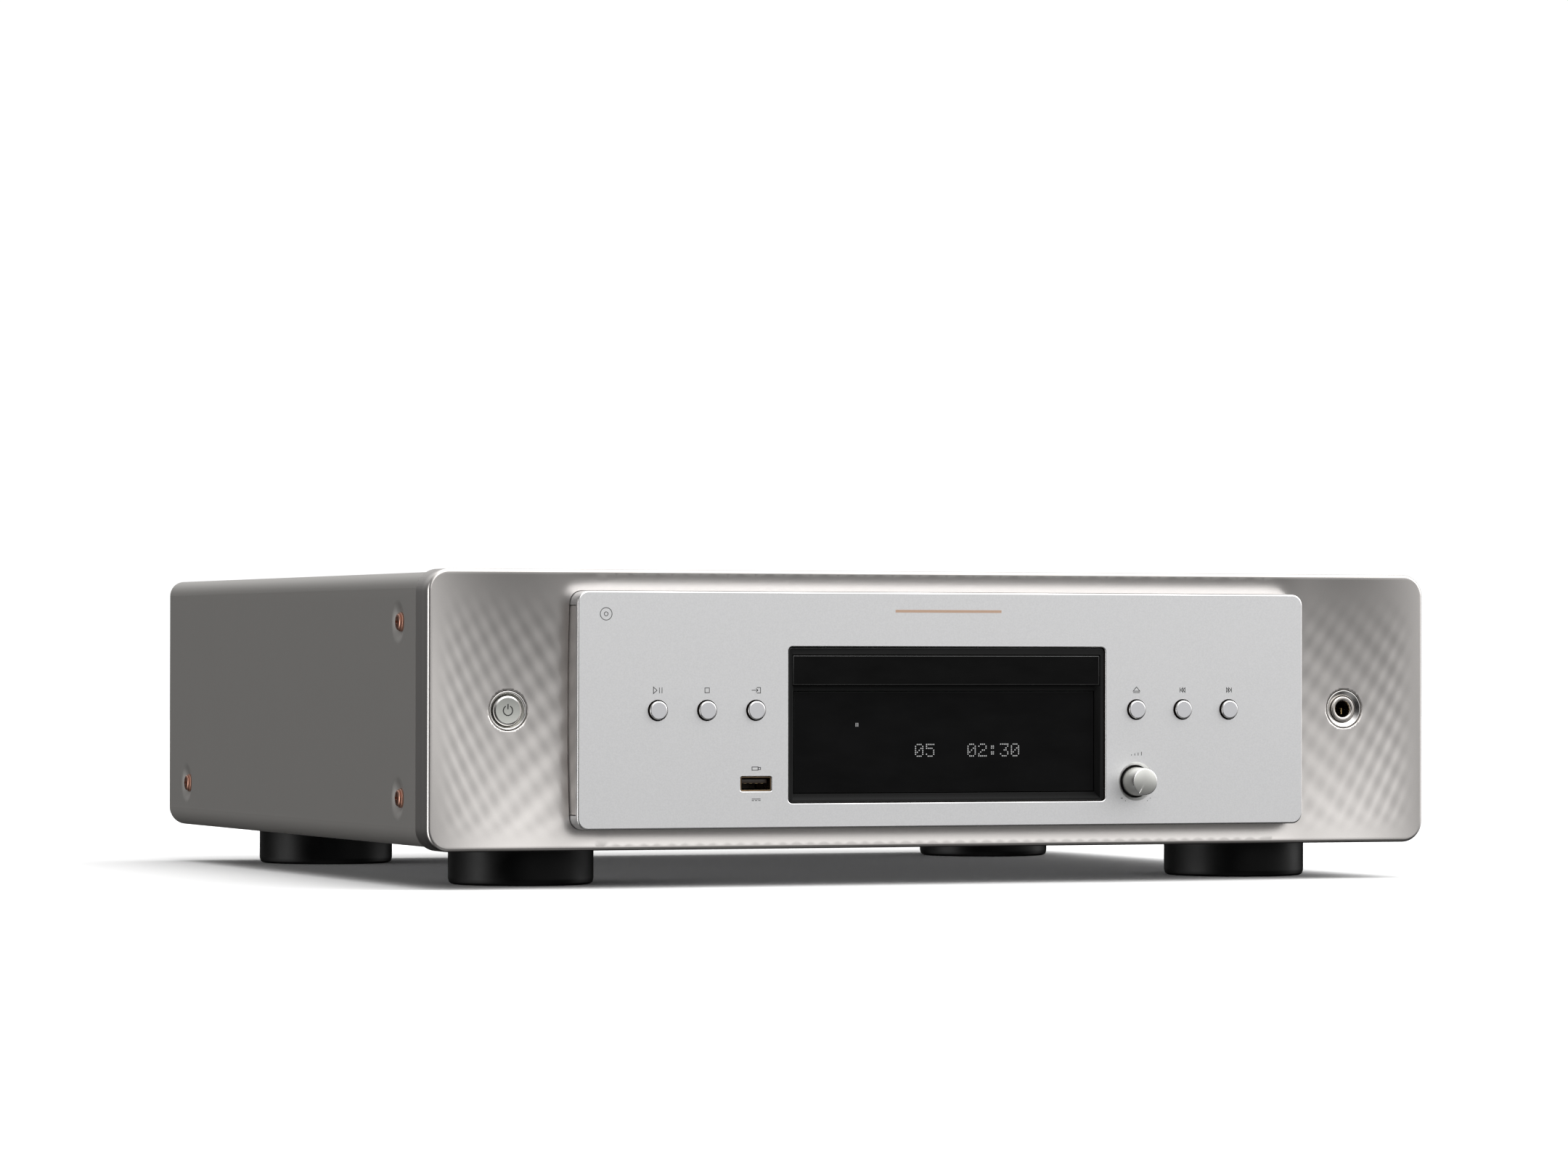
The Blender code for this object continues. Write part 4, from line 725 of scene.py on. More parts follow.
FASCIA_LOW, FASCIA_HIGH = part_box("fascia")
PLATE_LOW, PLATE_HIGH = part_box("centre_plate")
TRIM_LOW, TRIM_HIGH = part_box("window_trim")
SCREEN_LOW, SCREEN_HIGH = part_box("display_window")
DOOR_LOW, DOOR_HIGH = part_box("tray_door")
PLATE_FRONT = PLATE_LOW.y - FRONT
PLATE_BACK = PLATE_HIGH.y - FRONT
TRIM_FRONT = TRIM_LOW.y - FRONT
SCREEN_FRONT = SCREEN_LOW.y - FRONT
FASCIA_MIDDLE = (FASCIA_LOW.z + FASCIA_HIGH.z) / 2
DISH_HALF_WIDTH = FASCIA_HIGH.x - FASCIA_EDGE
DISH_HALF_HEIGHT = (FASCIA_HIGH.z - FASCIA_LOW.z) / 2 - FASCIA_EDGE
BUTTONS = [node for node in frame["nodes"] if node.startswith("button_")]


def centre_of(node):
    """(x, y, z) of a node's middle."""
    return tuple((a + b) / 2 for a, b in zip(*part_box(node)))


def middle(node):
    """(x, z) of a node's middle, as seen from the front."""
    x, _, z = centre_of(node)
    return x, z


def depth_of(node):
    """How far a node's front and back lie behind the rim."""
    low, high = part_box(node)
    return low.y - FRONT, high.y - FRONT


KNOB_AT = middle("volume_knob")
USB_AT = middle("usb_shell")
POWER_AT = middle("power_button")
JACK_AT = middle("headphone_ring")
WINDOW = between(
    (TRIM_LOW.x - TRIM_GAP, TRIM_LOW.z - TRIM_GAP),
    (TRIM_HIGH.x + TRIM_GAP, TRIM_HIGH.z + TRIM_GAP),
    WINDOW_CORNER,
)


# ---------------------------------------------------------------- fascia and plate

# The dish falls away steeply behind the plate and more softly in the wings
DISH_POWER = 3.4
DISH_POWER_DROP = 1.4
QUILT_RISE = (0.036 * MM, 0.040 * MM)
QUILT_WAVES = ((66.0, 73.2), (-139.0, 87.9))
QUILT_START = 0.86
QUILT_TIGHTENING = 4.5


def quilt(x, z):
    """Height of the two crossed waves on a wing. They tighten towards the rim and fade at its edges."""
    away = abs(x) - PLATE_HIGH.x
    warped = away * (QUILT_START + QUILT_TIGHTENING * away)
    height = 0.0
    for rise, (across, up) in zip(QUILT_RISE, QUILT_WAVES):
        height += rise * math.cos(2 * math.pi * (across * warped + up * z))
    fade = smooth_step(DISH_HALF_WIDTH - abs(x), 1 * MM, 13 * MM)
    fade *= smooth_step(FASCIA_HIGH.z - z, 5 * MM, 30 * MM)
    fade *= smooth_step(z - FASCIA_LOW.z, 4 * MM, 13 * MM)
    beside_plate = smooth_step(abs(x), PLATE_HIGH.x - 4 * MM, PLATE_HIGH.x + 6 * MM)
    above_or_below = max(PLATE_LOW.z - z, z - PLATE_HIGH.z)
    if above_or_below > 0:
        fade *= beside_plate
    return height * fade


def dish(x, z):
    """Depth of the fascia's front face behind its rim."""
    along = abs(x)
    if along <= WING_DEEPEST:
        reach = DISH_DEPTH + (WING_DEPTH - DISH_DEPTH) * smooth_step(along, PLATE_HIGH.x, WING_DEEPEST)
    else:
        share = (along - WING_DEEPEST) / (DISH_HALF_WIDTH - WING_DEEPEST)
        reach = WING_DEPTH * (1 - share * share)
    share = abs(z - FASCIA_MIDDLE) / DISH_HALF_HEIGHT
    softer = smooth_step(along, PLATE_HIGH.x - 16 * MM, PLATE_HIGH.x + 8 * MM)
    power = DISH_POWER - DISH_POWER_DROP * softer
    return max(0.0, reach * (1 - share ** power)) - quilt(x, z)


def make_fascia():
    outer = between(FASCIA_LOW, FASCIA_HIGH, FASCIA_CORNER, 14, spacing=2.4 * MM)
    plate = between(
        (PLATE_LOW.x - GAP, PLATE_LOW.z - GAP),
        (PLATE_HIGH.x + GAP, PLATE_HIGH.z + GAP),
        PLATE_CORNER + GAP,
        8,
        spacing=1.2 * MM,
    )
    wing_holes = [circle(POWER_AT, WING_HOLE, 14), circle(JACK_AT, WING_HOLE, 14)]
    stems = [circle(middle(name), STEM_HOLE, 4) for name in BUTTONS]
    stems.append(circle(KNOB_AT, SHAFT_HOLE, 4))
    stems.append(Outline(USB_AT, (7.0 * MM, 3.2 * MM), USB_CORNER, 2))
    thickness = FASCIA_HIGH.y - FRONT
    seat = PLATE_BACK + GAP
    lip = 0.15 * MM
    bm = bmesh.new()
    front = ring(bm, outer.points(-FASCIA_EDGE), dish)
    edge = sweep(bm, outer, rounding(FASCIA_EDGE, 0.0, 8)[1:])
    bridge(bm, front, edge[0])
    wall = sweep(bm, outer, [(0, thickness - lip), (-lip, thickness), (-FASCIA_WALL, thickness)])
    bridge(bm, edge[-1], wall[0])
    inner = sweep(bm, outer, [(-FASCIA_WALL, FASCIA_BACK)])
    bridge(bm, wall[-1], inner[0])
    back_holes = []
    front_holes = []
    for hole in wing_holes:
        mouth = ring(bm, hole.points(lip), dish)
        rim = ring(bm, hole.points(), lambda x, z: dish(x, z) + lip)
        end = ring(bm, hole.points(), FASCIA_BACK)
        bridge(bm, mouth, rim)
        bridge(bm, rim, end)
        front_holes.append(mouth)
        back_holes.append(end)
    pocket = ring(bm, plate.points(), dish)
    floor = ring(bm, plate.points(), seat)
    bridge(bm, pocket, floor)
    floor_holes = []
    for hole in (WINDOW, *stems):
        start, end = sweep(bm, hole, [(0, seat), (0, FASCIA_BACK)])
        floor_holes.append(start)
        back_holes.append(end)
    fill(bm, floor, floor_holes, depth=seat)
    fill(bm, inner[0], back_holes, depth=FASCIA_BACK)

    fine = 0.7 * MM
    keep_clear = [plate, *wing_holes]

    def is_free(x, z):
        if outer.distance(x, z) > -FASCIA_EDGE - fine / 2:
            return False
        return all(shape.distance(x, z) > fine / 2 for shape in keep_clear)

    wing_start = PLATE_HIGH.x - 10 * MM
    low_z = FASCIA_LOW.z + FASCIA_EDGE + fine
    high_z = FASCIA_HIGH.z
    grid = rows((wing_start, low_z), (FASCIA_HIGH.x, high_z), (fine, fine), is_free)
    grid += [(-x, z) for x, z in grid]
    grid += rows((6 * MM - wing_start, low_z), (wing_start - 3 * MM, high_z), (6 * MM, 1.1 * MM), is_free)
    fill(bm, front, [*front_holes, pocket], grid, dish)
    return piece("fascia_detail", bm, SILVER, "fascia", crease=50)


def make_centre_plate():
    outer = between(PLATE_LOW, PLATE_HIGH, PLATE_CORNER, 10)
    back_of_skin = PLATE_FRONT + PLATE_SKIN
    polish = 1
    shaded_gap = 2
    bm = bmesh.new()
    edge = sweep(bm, outer, rounding(PLATE_EDGE, PLATE_FRONT, 4), polish)
    wall = sweep(bm, outer, [(0, PLATE_BACK - 0.2 * MM), (-0.2 * MM, PLATE_BACK), (-PLATE_WALL, PLATE_BACK)])
    bridge(bm, edge[-1], wall[0])
    hollow = sweep(bm, outer, [(-PLATE_WALL, back_of_skin)])
    bridge(bm, wall[-1], hollow[0])
    front_holes = []
    back_holes = []
    near_edges = outer.points(-PLATE_EDGE - WEAR)

    def opening(outline, steps, material):
        """A hole whose edge follows (offset, depth) steps and then runs straight through the skin. Its wall is
        painted dark as shade.
        """
        rings = sweep(bm, outline, steps, material)
        end = ring(bm, outline.points(steps[-1][0]), back_of_skin)
        bridge(bm, rings[-1], end, shaded_gap)
        front_holes.append(rings[0])
        back_holes.append(end)
        near_edges.extend(outline.points(steps[0][0] + WEAR))

    opening(WINDOW, rounding(WINDOW_EDGE, PLATE_FRONT, 5, hole=True), polish)
    for name in BUTTONS:
        opening(circle(middle(name), BUTTON_HOLE, 12), rounding(0.12 * MM, PLATE_FRONT, 3, hole=True), polish)
    sink_depth = KNOB_SINK - KNOB_HOLE
    sink = [
        (sink_depth + 0.15 * MM, PLATE_FRONT),
        (sink_depth, PLATE_FRONT + 0.12 * MM),
        (0.15 * MM, PLATE_FRONT + sink_depth),
        (0, PLATE_FRONT + sink_depth + 0.15 * MM),
    ]
    opening(circle(KNOB_AT, KNOB_HOLE, 16), sink, 0)
    usb_edge = rounding(0.3 * MM, PLATE_FRONT, 3, hole=True)
    opening(Outline(USB_AT, USB_HALF, USB_CORNER, 4), usb_edge, polish)
    fill(bm, edge[0], front_holes, near_edges, PLATE_FRONT)
    fill(bm, hollow[0], back_holes, depth=back_of_skin)
    plate = piece("centre_plate_detail", bm, [PLATE, POLISHED, GAP_SHADE], "centre_plate", crease=35)
    for node in ("light_guide_left", "light_guide_right"):
        low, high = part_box(node)
        margin = Vector((0.5 * MM, GAP, GAP))
        cut(plate, block(low - margin, high + margin + Vector((0, 4 * MM, 0))))
    flatten(plate)
    for node in ("light_guide_left", "light_guide_right"):
        low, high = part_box(node)
        strip = piece(node + "_detail", block(low, high, 0.25 * MM, 3), GUIDE, node)
        flatten(strip)


# ---------------------------------------------------------------- window, display and tray door

GLYPHS = {
    "0": ("01110", "10001", "10011", "10101", "11001", "10001", "01110"),
    "2": ("01110", "10001", "00001", "00110", "01000", "10000", "11111"),
    "3": ("11111", "00001", "00010", "00110", "00001", "10001", "01110"),
    "5": ("11111", "10000", "11110", "00001", "00001", "10001", "01110"),
    ":": ("00000", "01100", "01100", "00000", "01100", "01100", "00000"),
}
DOT_PITCH = 0.80 * MM
DOT_SIZE = 0.46 * MM
GLYPH_STEP = 4.85 * MM
DIGITS_TOP = 57.3 * MM
PAUSE_BARS = (-39.35 * MM, -38.55 * MM)
PAUSE_LOW = 64.85 * MM


def add_tile(bm, x, z, size, depth, thickness):
    """A small flat square on the front."""
    half = size / 2
    near = FRONT + depth
    add_to(bm, block((x - half, near, z - half), (x + half, near + thickness, z + half)))


def make_display():
    sheet = mark_bevels(block(SCREEN_LOW, SCREEN_HIGH, 0.2 * MM, 2))
    flatten(piece("display_window_detail", sheet, [SMOKED, WINDOW_BLACK], "display_window"))
    bm = bmesh.new()
    lift = 0.02 * MM
    for text, start in (("05", -13.1 * MM), ("02:30", 10.2 * MM)):
        for place, sign in enumerate(text):
            for row, line in enumerate(GLYPHS[sign]):
                for column, lit in enumerate(line):
                    if lit == "1":
                        x = start + place * GLYPH_STEP + column * DOT_PITCH
                        add_tile(bm, x, DIGITS_TOP - row * DOT_PITCH, DOT_SIZE, SCREEN_FRONT - lift, 2 * lift)
    for bar in PAUSE_BARS:
        for row in range(4):
            z = PAUSE_LOW + row * 0.38 * MM
            add_tile(bm, bar, z, 0.34 * MM, SCREEN_FRONT - lift, 2 * lift)
    piece("display_digits", bm, DOTS, body="chassis")


def wedge(outline, axis, start, end):
    """A prism from an outline. Its points are (first other axis, second other axis), in X, Y, Z order."""
    bm = bmesh.new()
    at = {"X": lambda a, b, along: (along, a, b), "Z": lambda a, b, along: (a, b, along)}[axis]
    first = [bm.verts.new(at(a, b, start)) for a, b in outline]
    last = [bm.verts.new(at(a, b, end)) for a, b in outline]
    bm.faces.new(first)
    bm.faces.new(last)
    bridge(bm, first, last)
    return bm


def make_window_trim():
    outer = between(TRIM_LOW, TRIM_HIGH, WINDOW_CORNER - TRIM_GAP, 5)
    opening_low = (DOOR_LOW.x - GAP, TRIM_LOW.z + 0.8 * MM)
    opening = between(opening_low, (DOOR_HIGH.x + GAP, DOOR_HIGH.z + GAP), 0.4 * MM, 3)
    back = TRIM_HIGH.y - FRONT
    # The outer edge's rounding takes the glossier black with a painted highlight
    polish = 1
    bm = bmesh.new()
    edge = sweep(bm, outer, rounding(0.22 * MM, TRIM_FRONT, 3), polish)
    wall = sweep(bm, outer, [(0, back)])
    bridge(bm, edge[-1], wall[0])
    mouth = sweep(bm, opening, rounding(0.18 * MM, TRIM_FRONT, 3, hole=True))
    end = ring(bm, opening.points(), back)
    bridge(bm, mouth[-1], end)
    fill(bm, edge[0], [mouth[0]], depth=TRIM_FRONT)
    fill(bm, wall[0], [end], depth=back)
    trim = piece("window_trim_detail", bm, [WINDOW_BLACK, BLACK_EDGE], "window_trim", crease=35)
    slot_low = DOOR_LOW.z - GAP
    reach_x = TRIM_HIGH.x - 0.3 * MM
    reach_z = TRIM_LOW.z + 0.3 * MM
    y_front = TRIM_LOW.y + 0.25 * MM
    y_screen = SCREEN_LOW.y - 0.1 * MM
    y_back = TRIM_HIGH.y - 0.2 * MM
    screen_low = SCREEN_LOW.z - GAP
    ledge = [
        (y_front, TRIM_LOW.z + 0.9 * MM),
        (y_screen, screen_low),
        (y_back, screen_low),
        (y_back, reach_z),
        (y_front, reach_z),
    ]
    cut(trim, wedge(ledge, "X", -reach_x, reach_x), "UNION")
    for side in (-1, 1):
        outside = side * reach_x
        edge_x = side * (DOOR_HIGH.x + GAP - 0.1 * MM)
        screen_x = side * (SCREEN_HIGH.x + GAP)
        cheek = [
            (outside, y_front),
            (edge_x, y_front),
            (screen_x, y_screen),
            (screen_x, y_back),
            (outside, y_back),
        ]
        cut(trim, wedge(cheek, "Z", reach_z, slot_low), "UNION")
    bar_low = (-reach_x, SCREEN_LOW.y - 0.2 * MM, SCREEN_HIGH.z + GAP)
    cut(trim, block(bar_low, (reach_x, y_back, slot_low)), "UNION")
    flatten(trim)
    # The door's bevels take the glossier black with a painted highlight
    door = mark_bevels(block(DOOR_LOW, DOOR_HIGH, 0.3 * MM, 3))
    flatten(piece("tray_door_detail", door, [DOOR, BLACK_EDGE], "tray_door"))


# ---------------------------------------------------------------- controls and sockets

def make_buttons():
    for name in BUTTONS:
        front, back = depth_of(name)
        x, z = middle(name)
        low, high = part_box(name)
        radius = (high.x - low.x) / 2
        skirt = PLATE_FRONT + 4.0 * MM
        profile = [
            (0, front),
            (radius - 0.62 * MM, front),
            (radius - 0.46 * MM, front + 0.04 * MM),
            (radius - 0.26 * MM, front + 0.20 * MM),
            (radius - 0.16 * MM, front + 0.44 * MM),
            (radius - 0.14 * MM, PLATE_FRONT + 0.05 * MM),
            (radius - 0.14 * MM, skirt),
            (2.2 * MM, skirt),
            (2.2 * MM, back),
            (0, back),
        ]
        # The button's side and skirt take the dark brown of painted shade, for the gap round it
        faces = [0, 1, 1, 1, 2, 2, 2, 2, 2]
        bm = turned(profile, (x, FRONT, z), sides=64, materials=faces)
        flatten(piece(name + "_detail", bm, [PLATE_FINE, POLISHED, GAP_SHADE], name, crease=40))


def make_knob():
    front, back = depth_of("volume_knob")
    x, z = KNOB_AT
    face = 5.5 * MM
    base = 6.1 * MM
    base_depth = -4.0 * MM
    shaft = 3.0 * MM
    profile = [
        (0, front),
        (face - 0.42 * MM, front),
        (face - 0.12 * MM, front + 0.12 * MM),
        (face, front + 0.42 * MM),
        (base, base_depth - 0.2 * MM),
        (base - 0.2 * MM, base_depth),
        (shaft, base_depth),
        (shaft, back),
        (0, back),
    ]
    bm = turned(profile, (x, FRONT, z), sides=72, materials=[0, 1, 1, 0, 0, 0, 0, 0])
    knob = piece("volume_knob_detail", bm, [KNOB_METAL, POLISHED, GROOVE], "volume_knob", crease=28)
    groove = block((-0.18 * MM, front - MM, -(face + MM)), (0.18 * MM, front + 0.22 * MM, -2.9 * MM))
    groove.transform(Matrix.Rotation(math.radians(30), 4, "Y"))
    groove.transform(Matrix.Translation((x, FRONT, z)))
    cut(knob, groove)
    # The groove's floor takes the near-white of the painted highlight
    for polygon in knob.data.polygons:
        centre = polygon.center
        in_groove = front + FRONT + 0.2 * MM < centre.y < front + FRONT + 0.3 * MM
        if in_groove and abs(polygon.normal.y) > 0.9 and math.hypot(centre.x - x, centre.z - z) < face:
            polygon.material_index = 2


def socket_ring(name, node, at, bore):
    """The dished ring round the power button and the headphone socket."""
    front, back = depth_of(node)
    low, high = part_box(node)
    outer = (high.x - low.x) / 2
    profile = soft_corners([
        (bore, back),
        (bore, front + 1.25 * MM),
        (bore + 0.25 * MM, front + 1.05 * MM),
        (outer - 0.75 * MM, front + 0.22 * MM),
        (outer - 0.45 * MM, front),
        (outer - 0.12 * MM, front + 0.05 * MM),
        (outer, front + 0.3 * MM),
        (outer, back),
    ], 0.1 * MM)
    bm = turned(profile, (at[0], FRONT, at[1]), sides=80)
    return piece(name, bm, RING_METAL, node, crease=40)


def make_power_button():
    socket_ring("power_bezel_detail", "power_bezel", POWER_AT, 6.4 * MM)
    front, back = depth_of("power_button")
    radius = 6.1 * MM
    stem = 2.2 * MM
    cap_back = 9.0 * MM
    profile = [
        (0, front + 0.10 * MM),
        (radius - 1.15 * MM, front + 0.02 * MM),
        (radius - 0.95 * MM, front),
        (radius - 0.30 * MM, front + 0.35 * MM),
        (radius, front + 0.85 * MM),
        (radius, cap_back),
        (stem, cap_back),
        (stem, back),
        (0, back),
    ]
    at = (POWER_AT[0], FRONT, POWER_AT[1])
    bm = turned(profile, at, sides=72, materials=[0, 0, 1, 1, 0, 0, 0, 0])
    piece("power_button_detail", bm, [CAP_METAL, RING_METAL], "power_button", crease=28)
    bm = bmesh.new()
    lift = 0.03 * MM
    ribbon(bm, arc(POWER_AT, 1.95 * MM, 118, 422, 36), 0.42 * MM, front - lift, 3 * lift)
    stroke = [(POWER_AT[0], POWER_AT[1] + 0.5 * MM), (POWER_AT[0], POWER_AT[1] + 2.65 * MM)]
    ribbon(bm, stroke, 0.42 * MM, front - lift, 3 * lift)
    piece("standby_symbol", bm, INK, body="power")


def make_headphone_jack():
    socket_ring("headphone_ring_detail", "headphone_ring", JACK_AT, 5.7 * MM)
    front, back = depth_of("headphone_jack")
    bore = 3.2 * MM
    outer = 5.4 * MM
    body_front = 12.5 * MM
    body_half = 7.8 * MM
    profile = soft_corners([
        (bore, 16 * MM),
        (bore, front + 1.1 * MM),
        (bore + 0.35 * MM, front + 0.35 * MM),
        (bore + 0.8 * MM, front),
        (outer - 0.45 * MM, front),
        (outer, front + 0.45 * MM),
        (outer, 16 * MM),
    ], 0.2 * MM)
    at = (JACK_AT[0], FRONT, JACK_AT[1])
    bm = turned(profile, at, sides=72)
    piece("headphone_jack_detail", bm, [NICKEL, BLACK, GOLD], "headphone_jack", crease=35)
    low = (JACK_AT[0] - body_half, FRONT + body_front, JACK_AT[1] - body_half)
    high = (JACK_AT[0] + body_half, FRONT + back, JACK_AT[1] + body_half)
    box = block(low, high, 0.5 * MM, 2)
    body = piece("headphone_jack_body", box, BLACK, body="chassis")
    sleeve_way = outer + 0.1 * MM
    way = [
        (0, 11 * MM),
        (sleeve_way, 11 * MM),
        (sleeve_way, 16.1 * MM),
        (bore, 16.1 * MM),
        (bore, back - 2 * MM),
        (0, back - 2 * MM),
    ]
    cut(body, turned(way, at, sides=48))
    spring_low = Vector((JACK_AT[0] - 0.5 * MM, FRONT + front + 2.2 * MM, JACK_AT[1] - bore + 0.05 * MM))
    spring_low = spring_low + Vector((0.6 * MM, 0, 0.9 * MM))
    bm = block(spring_low, spring_low + Vector((0.35 * MM, 14 * MM, 2.6 * MM)), 0.1 * MM, 1)
    piece("headphone_jack_contact", bm, GOLD, body="chassis")


def make_usb_port():
    front, back = depth_of("usb_shell")
    low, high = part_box("usb_shell")
    outer = between(low, high, 0.6 * MM, 4)
    wall = 0.3 * MM
    bm = bmesh.new()
    steps = [
        (-wall, back),
        (-wall, front + 0.1 * MM),
        (-wall * 0.6, front),
        (-0.05 * MM, front),
        (0, front + 0.05 * MM),
        (0, back),
    ]
    rings = sweep(bm, outer, steps)
    bridge(bm, rings[-1], rings[0])
    piece("usb_shell_detail", bm, DARK_BRASS, "usb_shell", crease=30)
    low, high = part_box("usb_tongue")
    inside_half = 5.45 * MM
    tongue_low = (USB_AT[0] - inside_half, low.y, USB_AT[1] + 0.2 * MM)
    tongue_high = (USB_AT[0] + inside_half, high.y - 0.5 * MM, USB_AT[1] + 1.9 * MM)
    bm = block(tongue_low, tongue_high, 0.15 * MM, 2)
    tongue = piece("usb_tongue_detail", bm, USB_BROWN, "usb_tongue")
    root_low = (low.x, high.y - 3.5 * MM, low.z)
    cut(tongue, block(root_low, high), "UNION")
    bm = bmesh.new()
    for i in range(4):
        x = USB_AT[0] + (i - 1.5) * 2.4 * MM
        pad_low = Vector((x - 0.5 * MM, low.y + 0.6 * MM, USB_AT[1] + 0.12 * MM))
        add_to(bm, block(pad_low, pad_low + Vector((1.0 * MM, 7 * MM, 0.12 * MM))))
    piece("usb_contacts", bm, GOLD, body="chassis")


# ---------------------------------------------------------------- printed marks

MARK_WIDTH = 0.28 * MM


def triangle(x, z, width, height, way):
    """A triangle's corners, pointing right for a way of 1 and left for -1."""
    base = x - way * width / 2
    return [(base, z - height / 2), (x + way * width / 2, z), (base, z + height / 2)]


def make_marks():
    """Plain transport symbols and scale dots, printed on the centre plate."""
    bm = bmesh.new()
    depth = PLATE_FRONT - 0.012 * MM
    thickness = 0.03 * MM

    def line(points, closed=False, width=MARK_WIDTH):
        ribbon(bm, points, width, depth, thickness, closed)

    def box_mark(x, z, half_x, half_z):
        left, right = x - half_x, x + half_x
        corners = [(left, z - half_z), (right, z - half_z), (right, z + half_z), (left, z + half_z)]
        line(corners, closed=True)

    rise = 8.1 * MM
    x, z = middle("button_play_pause")
    z += rise
    line(triangle(x - 1.15 * MM, z, 1.5 * MM, 2.6 * MM, 1), closed=True)
    for offset in (0.65, 1.75):
        line([(x + offset * MM, z - 1.15 * MM), (x + offset * MM, z + 1.15 * MM)])
    x, z = middle("button_stop")
    z += rise
    box_mark(x, z, 0.95 * MM, 0.95 * MM)
    x, z = middle("button_input")
    z += rise
    left, right = x + 0.3 * MM, x + 1.9 * MM
    line([(left, z - 1.1 * MM), (right, z - 1.1 * MM), (right, z + 1.1 * MM), (left, z + 1.1 * MM)])
    line([(x - 1.9 * MM, z), (x + 0.8 * MM, z)])
    line([(x, z - 0.75 * MM), (x + 0.8 * MM, z), (x, z + 0.75 * MM)])
    x, z = middle("button_eject")
    z += rise
    line([(x - 1.5 * MM, z - 0.45 * MM), (x + 1.5 * MM, z - 0.45 * MM), (x, z + 1.25 * MM)], closed=True)
    line([(x - 1.55 * MM, z - 1.05 * MM), (x + 1.55 * MM, z - 1.05 * MM)])
    for node, way in (("button_previous", -1), ("button_next", 1)):
        x, z = middle(node)
        z += rise
        for offset in (-0.55, 0.45):
            line(triangle(x + way * offset * MM, z, 0.95 * MM, 1.9 * MM, way), closed=True)
        line([(x + way * 1.25 * MM, z - 1.0 * MM), (x + way * 1.25 * MM, z + 1.0 * MM)])
    x, z = USB_AT
    above = z + 6.2 * MM
    box_mark(x - 0.5 * MM, above, 1.3 * MM, 0.65 * MM)
    box_mark(x + 1.4 * MM, above, 0.5 * MM, 0.4 * MM)
    below = z - 6.4 * MM
    line([(x - 1.9 * MM, below + 0.3 * MM), (x + 1.9 * MM, below + 0.3 * MM)])
    for i in range(3):
        start = x + (-1.9 + 1.4 * i) * MM
        line([(start, below - 0.3 * MM), (start + MM, below - 0.3 * MM)])
    x, z = KNOB_AT
    scale_radius = 9.4 * MM
    for angle in (-122, -58, -48):
        spot = arc((x, z), scale_radius, angle, angle + 1, 1)[0]
        line([(spot[0] - 0.14 * MM, spot[1]), (spot[0] + 0.14 * MM, spot[1])], width=0.30 * MM)
    dash = arc((x, z), scale_radius + 0.2 * MM, -134, -133, 1)[0]
    line([(dash[0] - 0.45 * MM, dash[1]), (dash[0] + 0.45 * MM, dash[1])])
    above = z + 11.6 * MM
    steps = 24
    for i in range(4):
        spot = x + (i - 1.5) * 1.5 * MM
        tall = (0.5 + 0.35 * i) * MM
        line([(spot, above - 0.9 * MM), (spot, above - 0.9 * MM + tall)])
    x = PLATE_LOW.x + 12 * MM
    z = PLATE_HIGH.z - 9.2 * MM
    line(arc((x, z), 2.5 * MM, 0, 360 - 360 / steps, steps - 1), closed=True)
    line(arc((x, z), 0.8 * MM, 0, 360 - 360 / steps, steps - 1), closed=True)
    piece("printed_marks", bm, INK, body="chassis")
    bm = bmesh.new()
    inlay_z = PLATE_HIGH.z - 7.6 * MM
    ribbon(bm, [(-23.5 * MM, inlay_z), (23.5 * MM, inlay_z)], 1.1 * MM, PLATE_FRONT - 0.02 * MM, 0.05 * MM)
    piece("copper_inlay", bm, COPPER_SATIN, body="chassis")


# ---------------------------------------------------------------- case

DIMPLE_RADIUS = 8.9 * MM
DIMPLE_FLOOR = 3.2 * MM
DIMPLE_DEPTH = 1.6 * MM
COVER_TOP_RADIUS = 6.5 * MM
COVER_BOTTOM_RADIUS = 8 * MM
SCREWS = [node for node in frame["nodes"] if node.startswith("side_screw_")]


def side_spots(side):
    """(y, z) of the screws on one side of the cover."""
    found = []
    for node in SCREWS:
        x, y, z = centre_of(node)
        if x * side > 0:
            found.append((y, z))
    return found


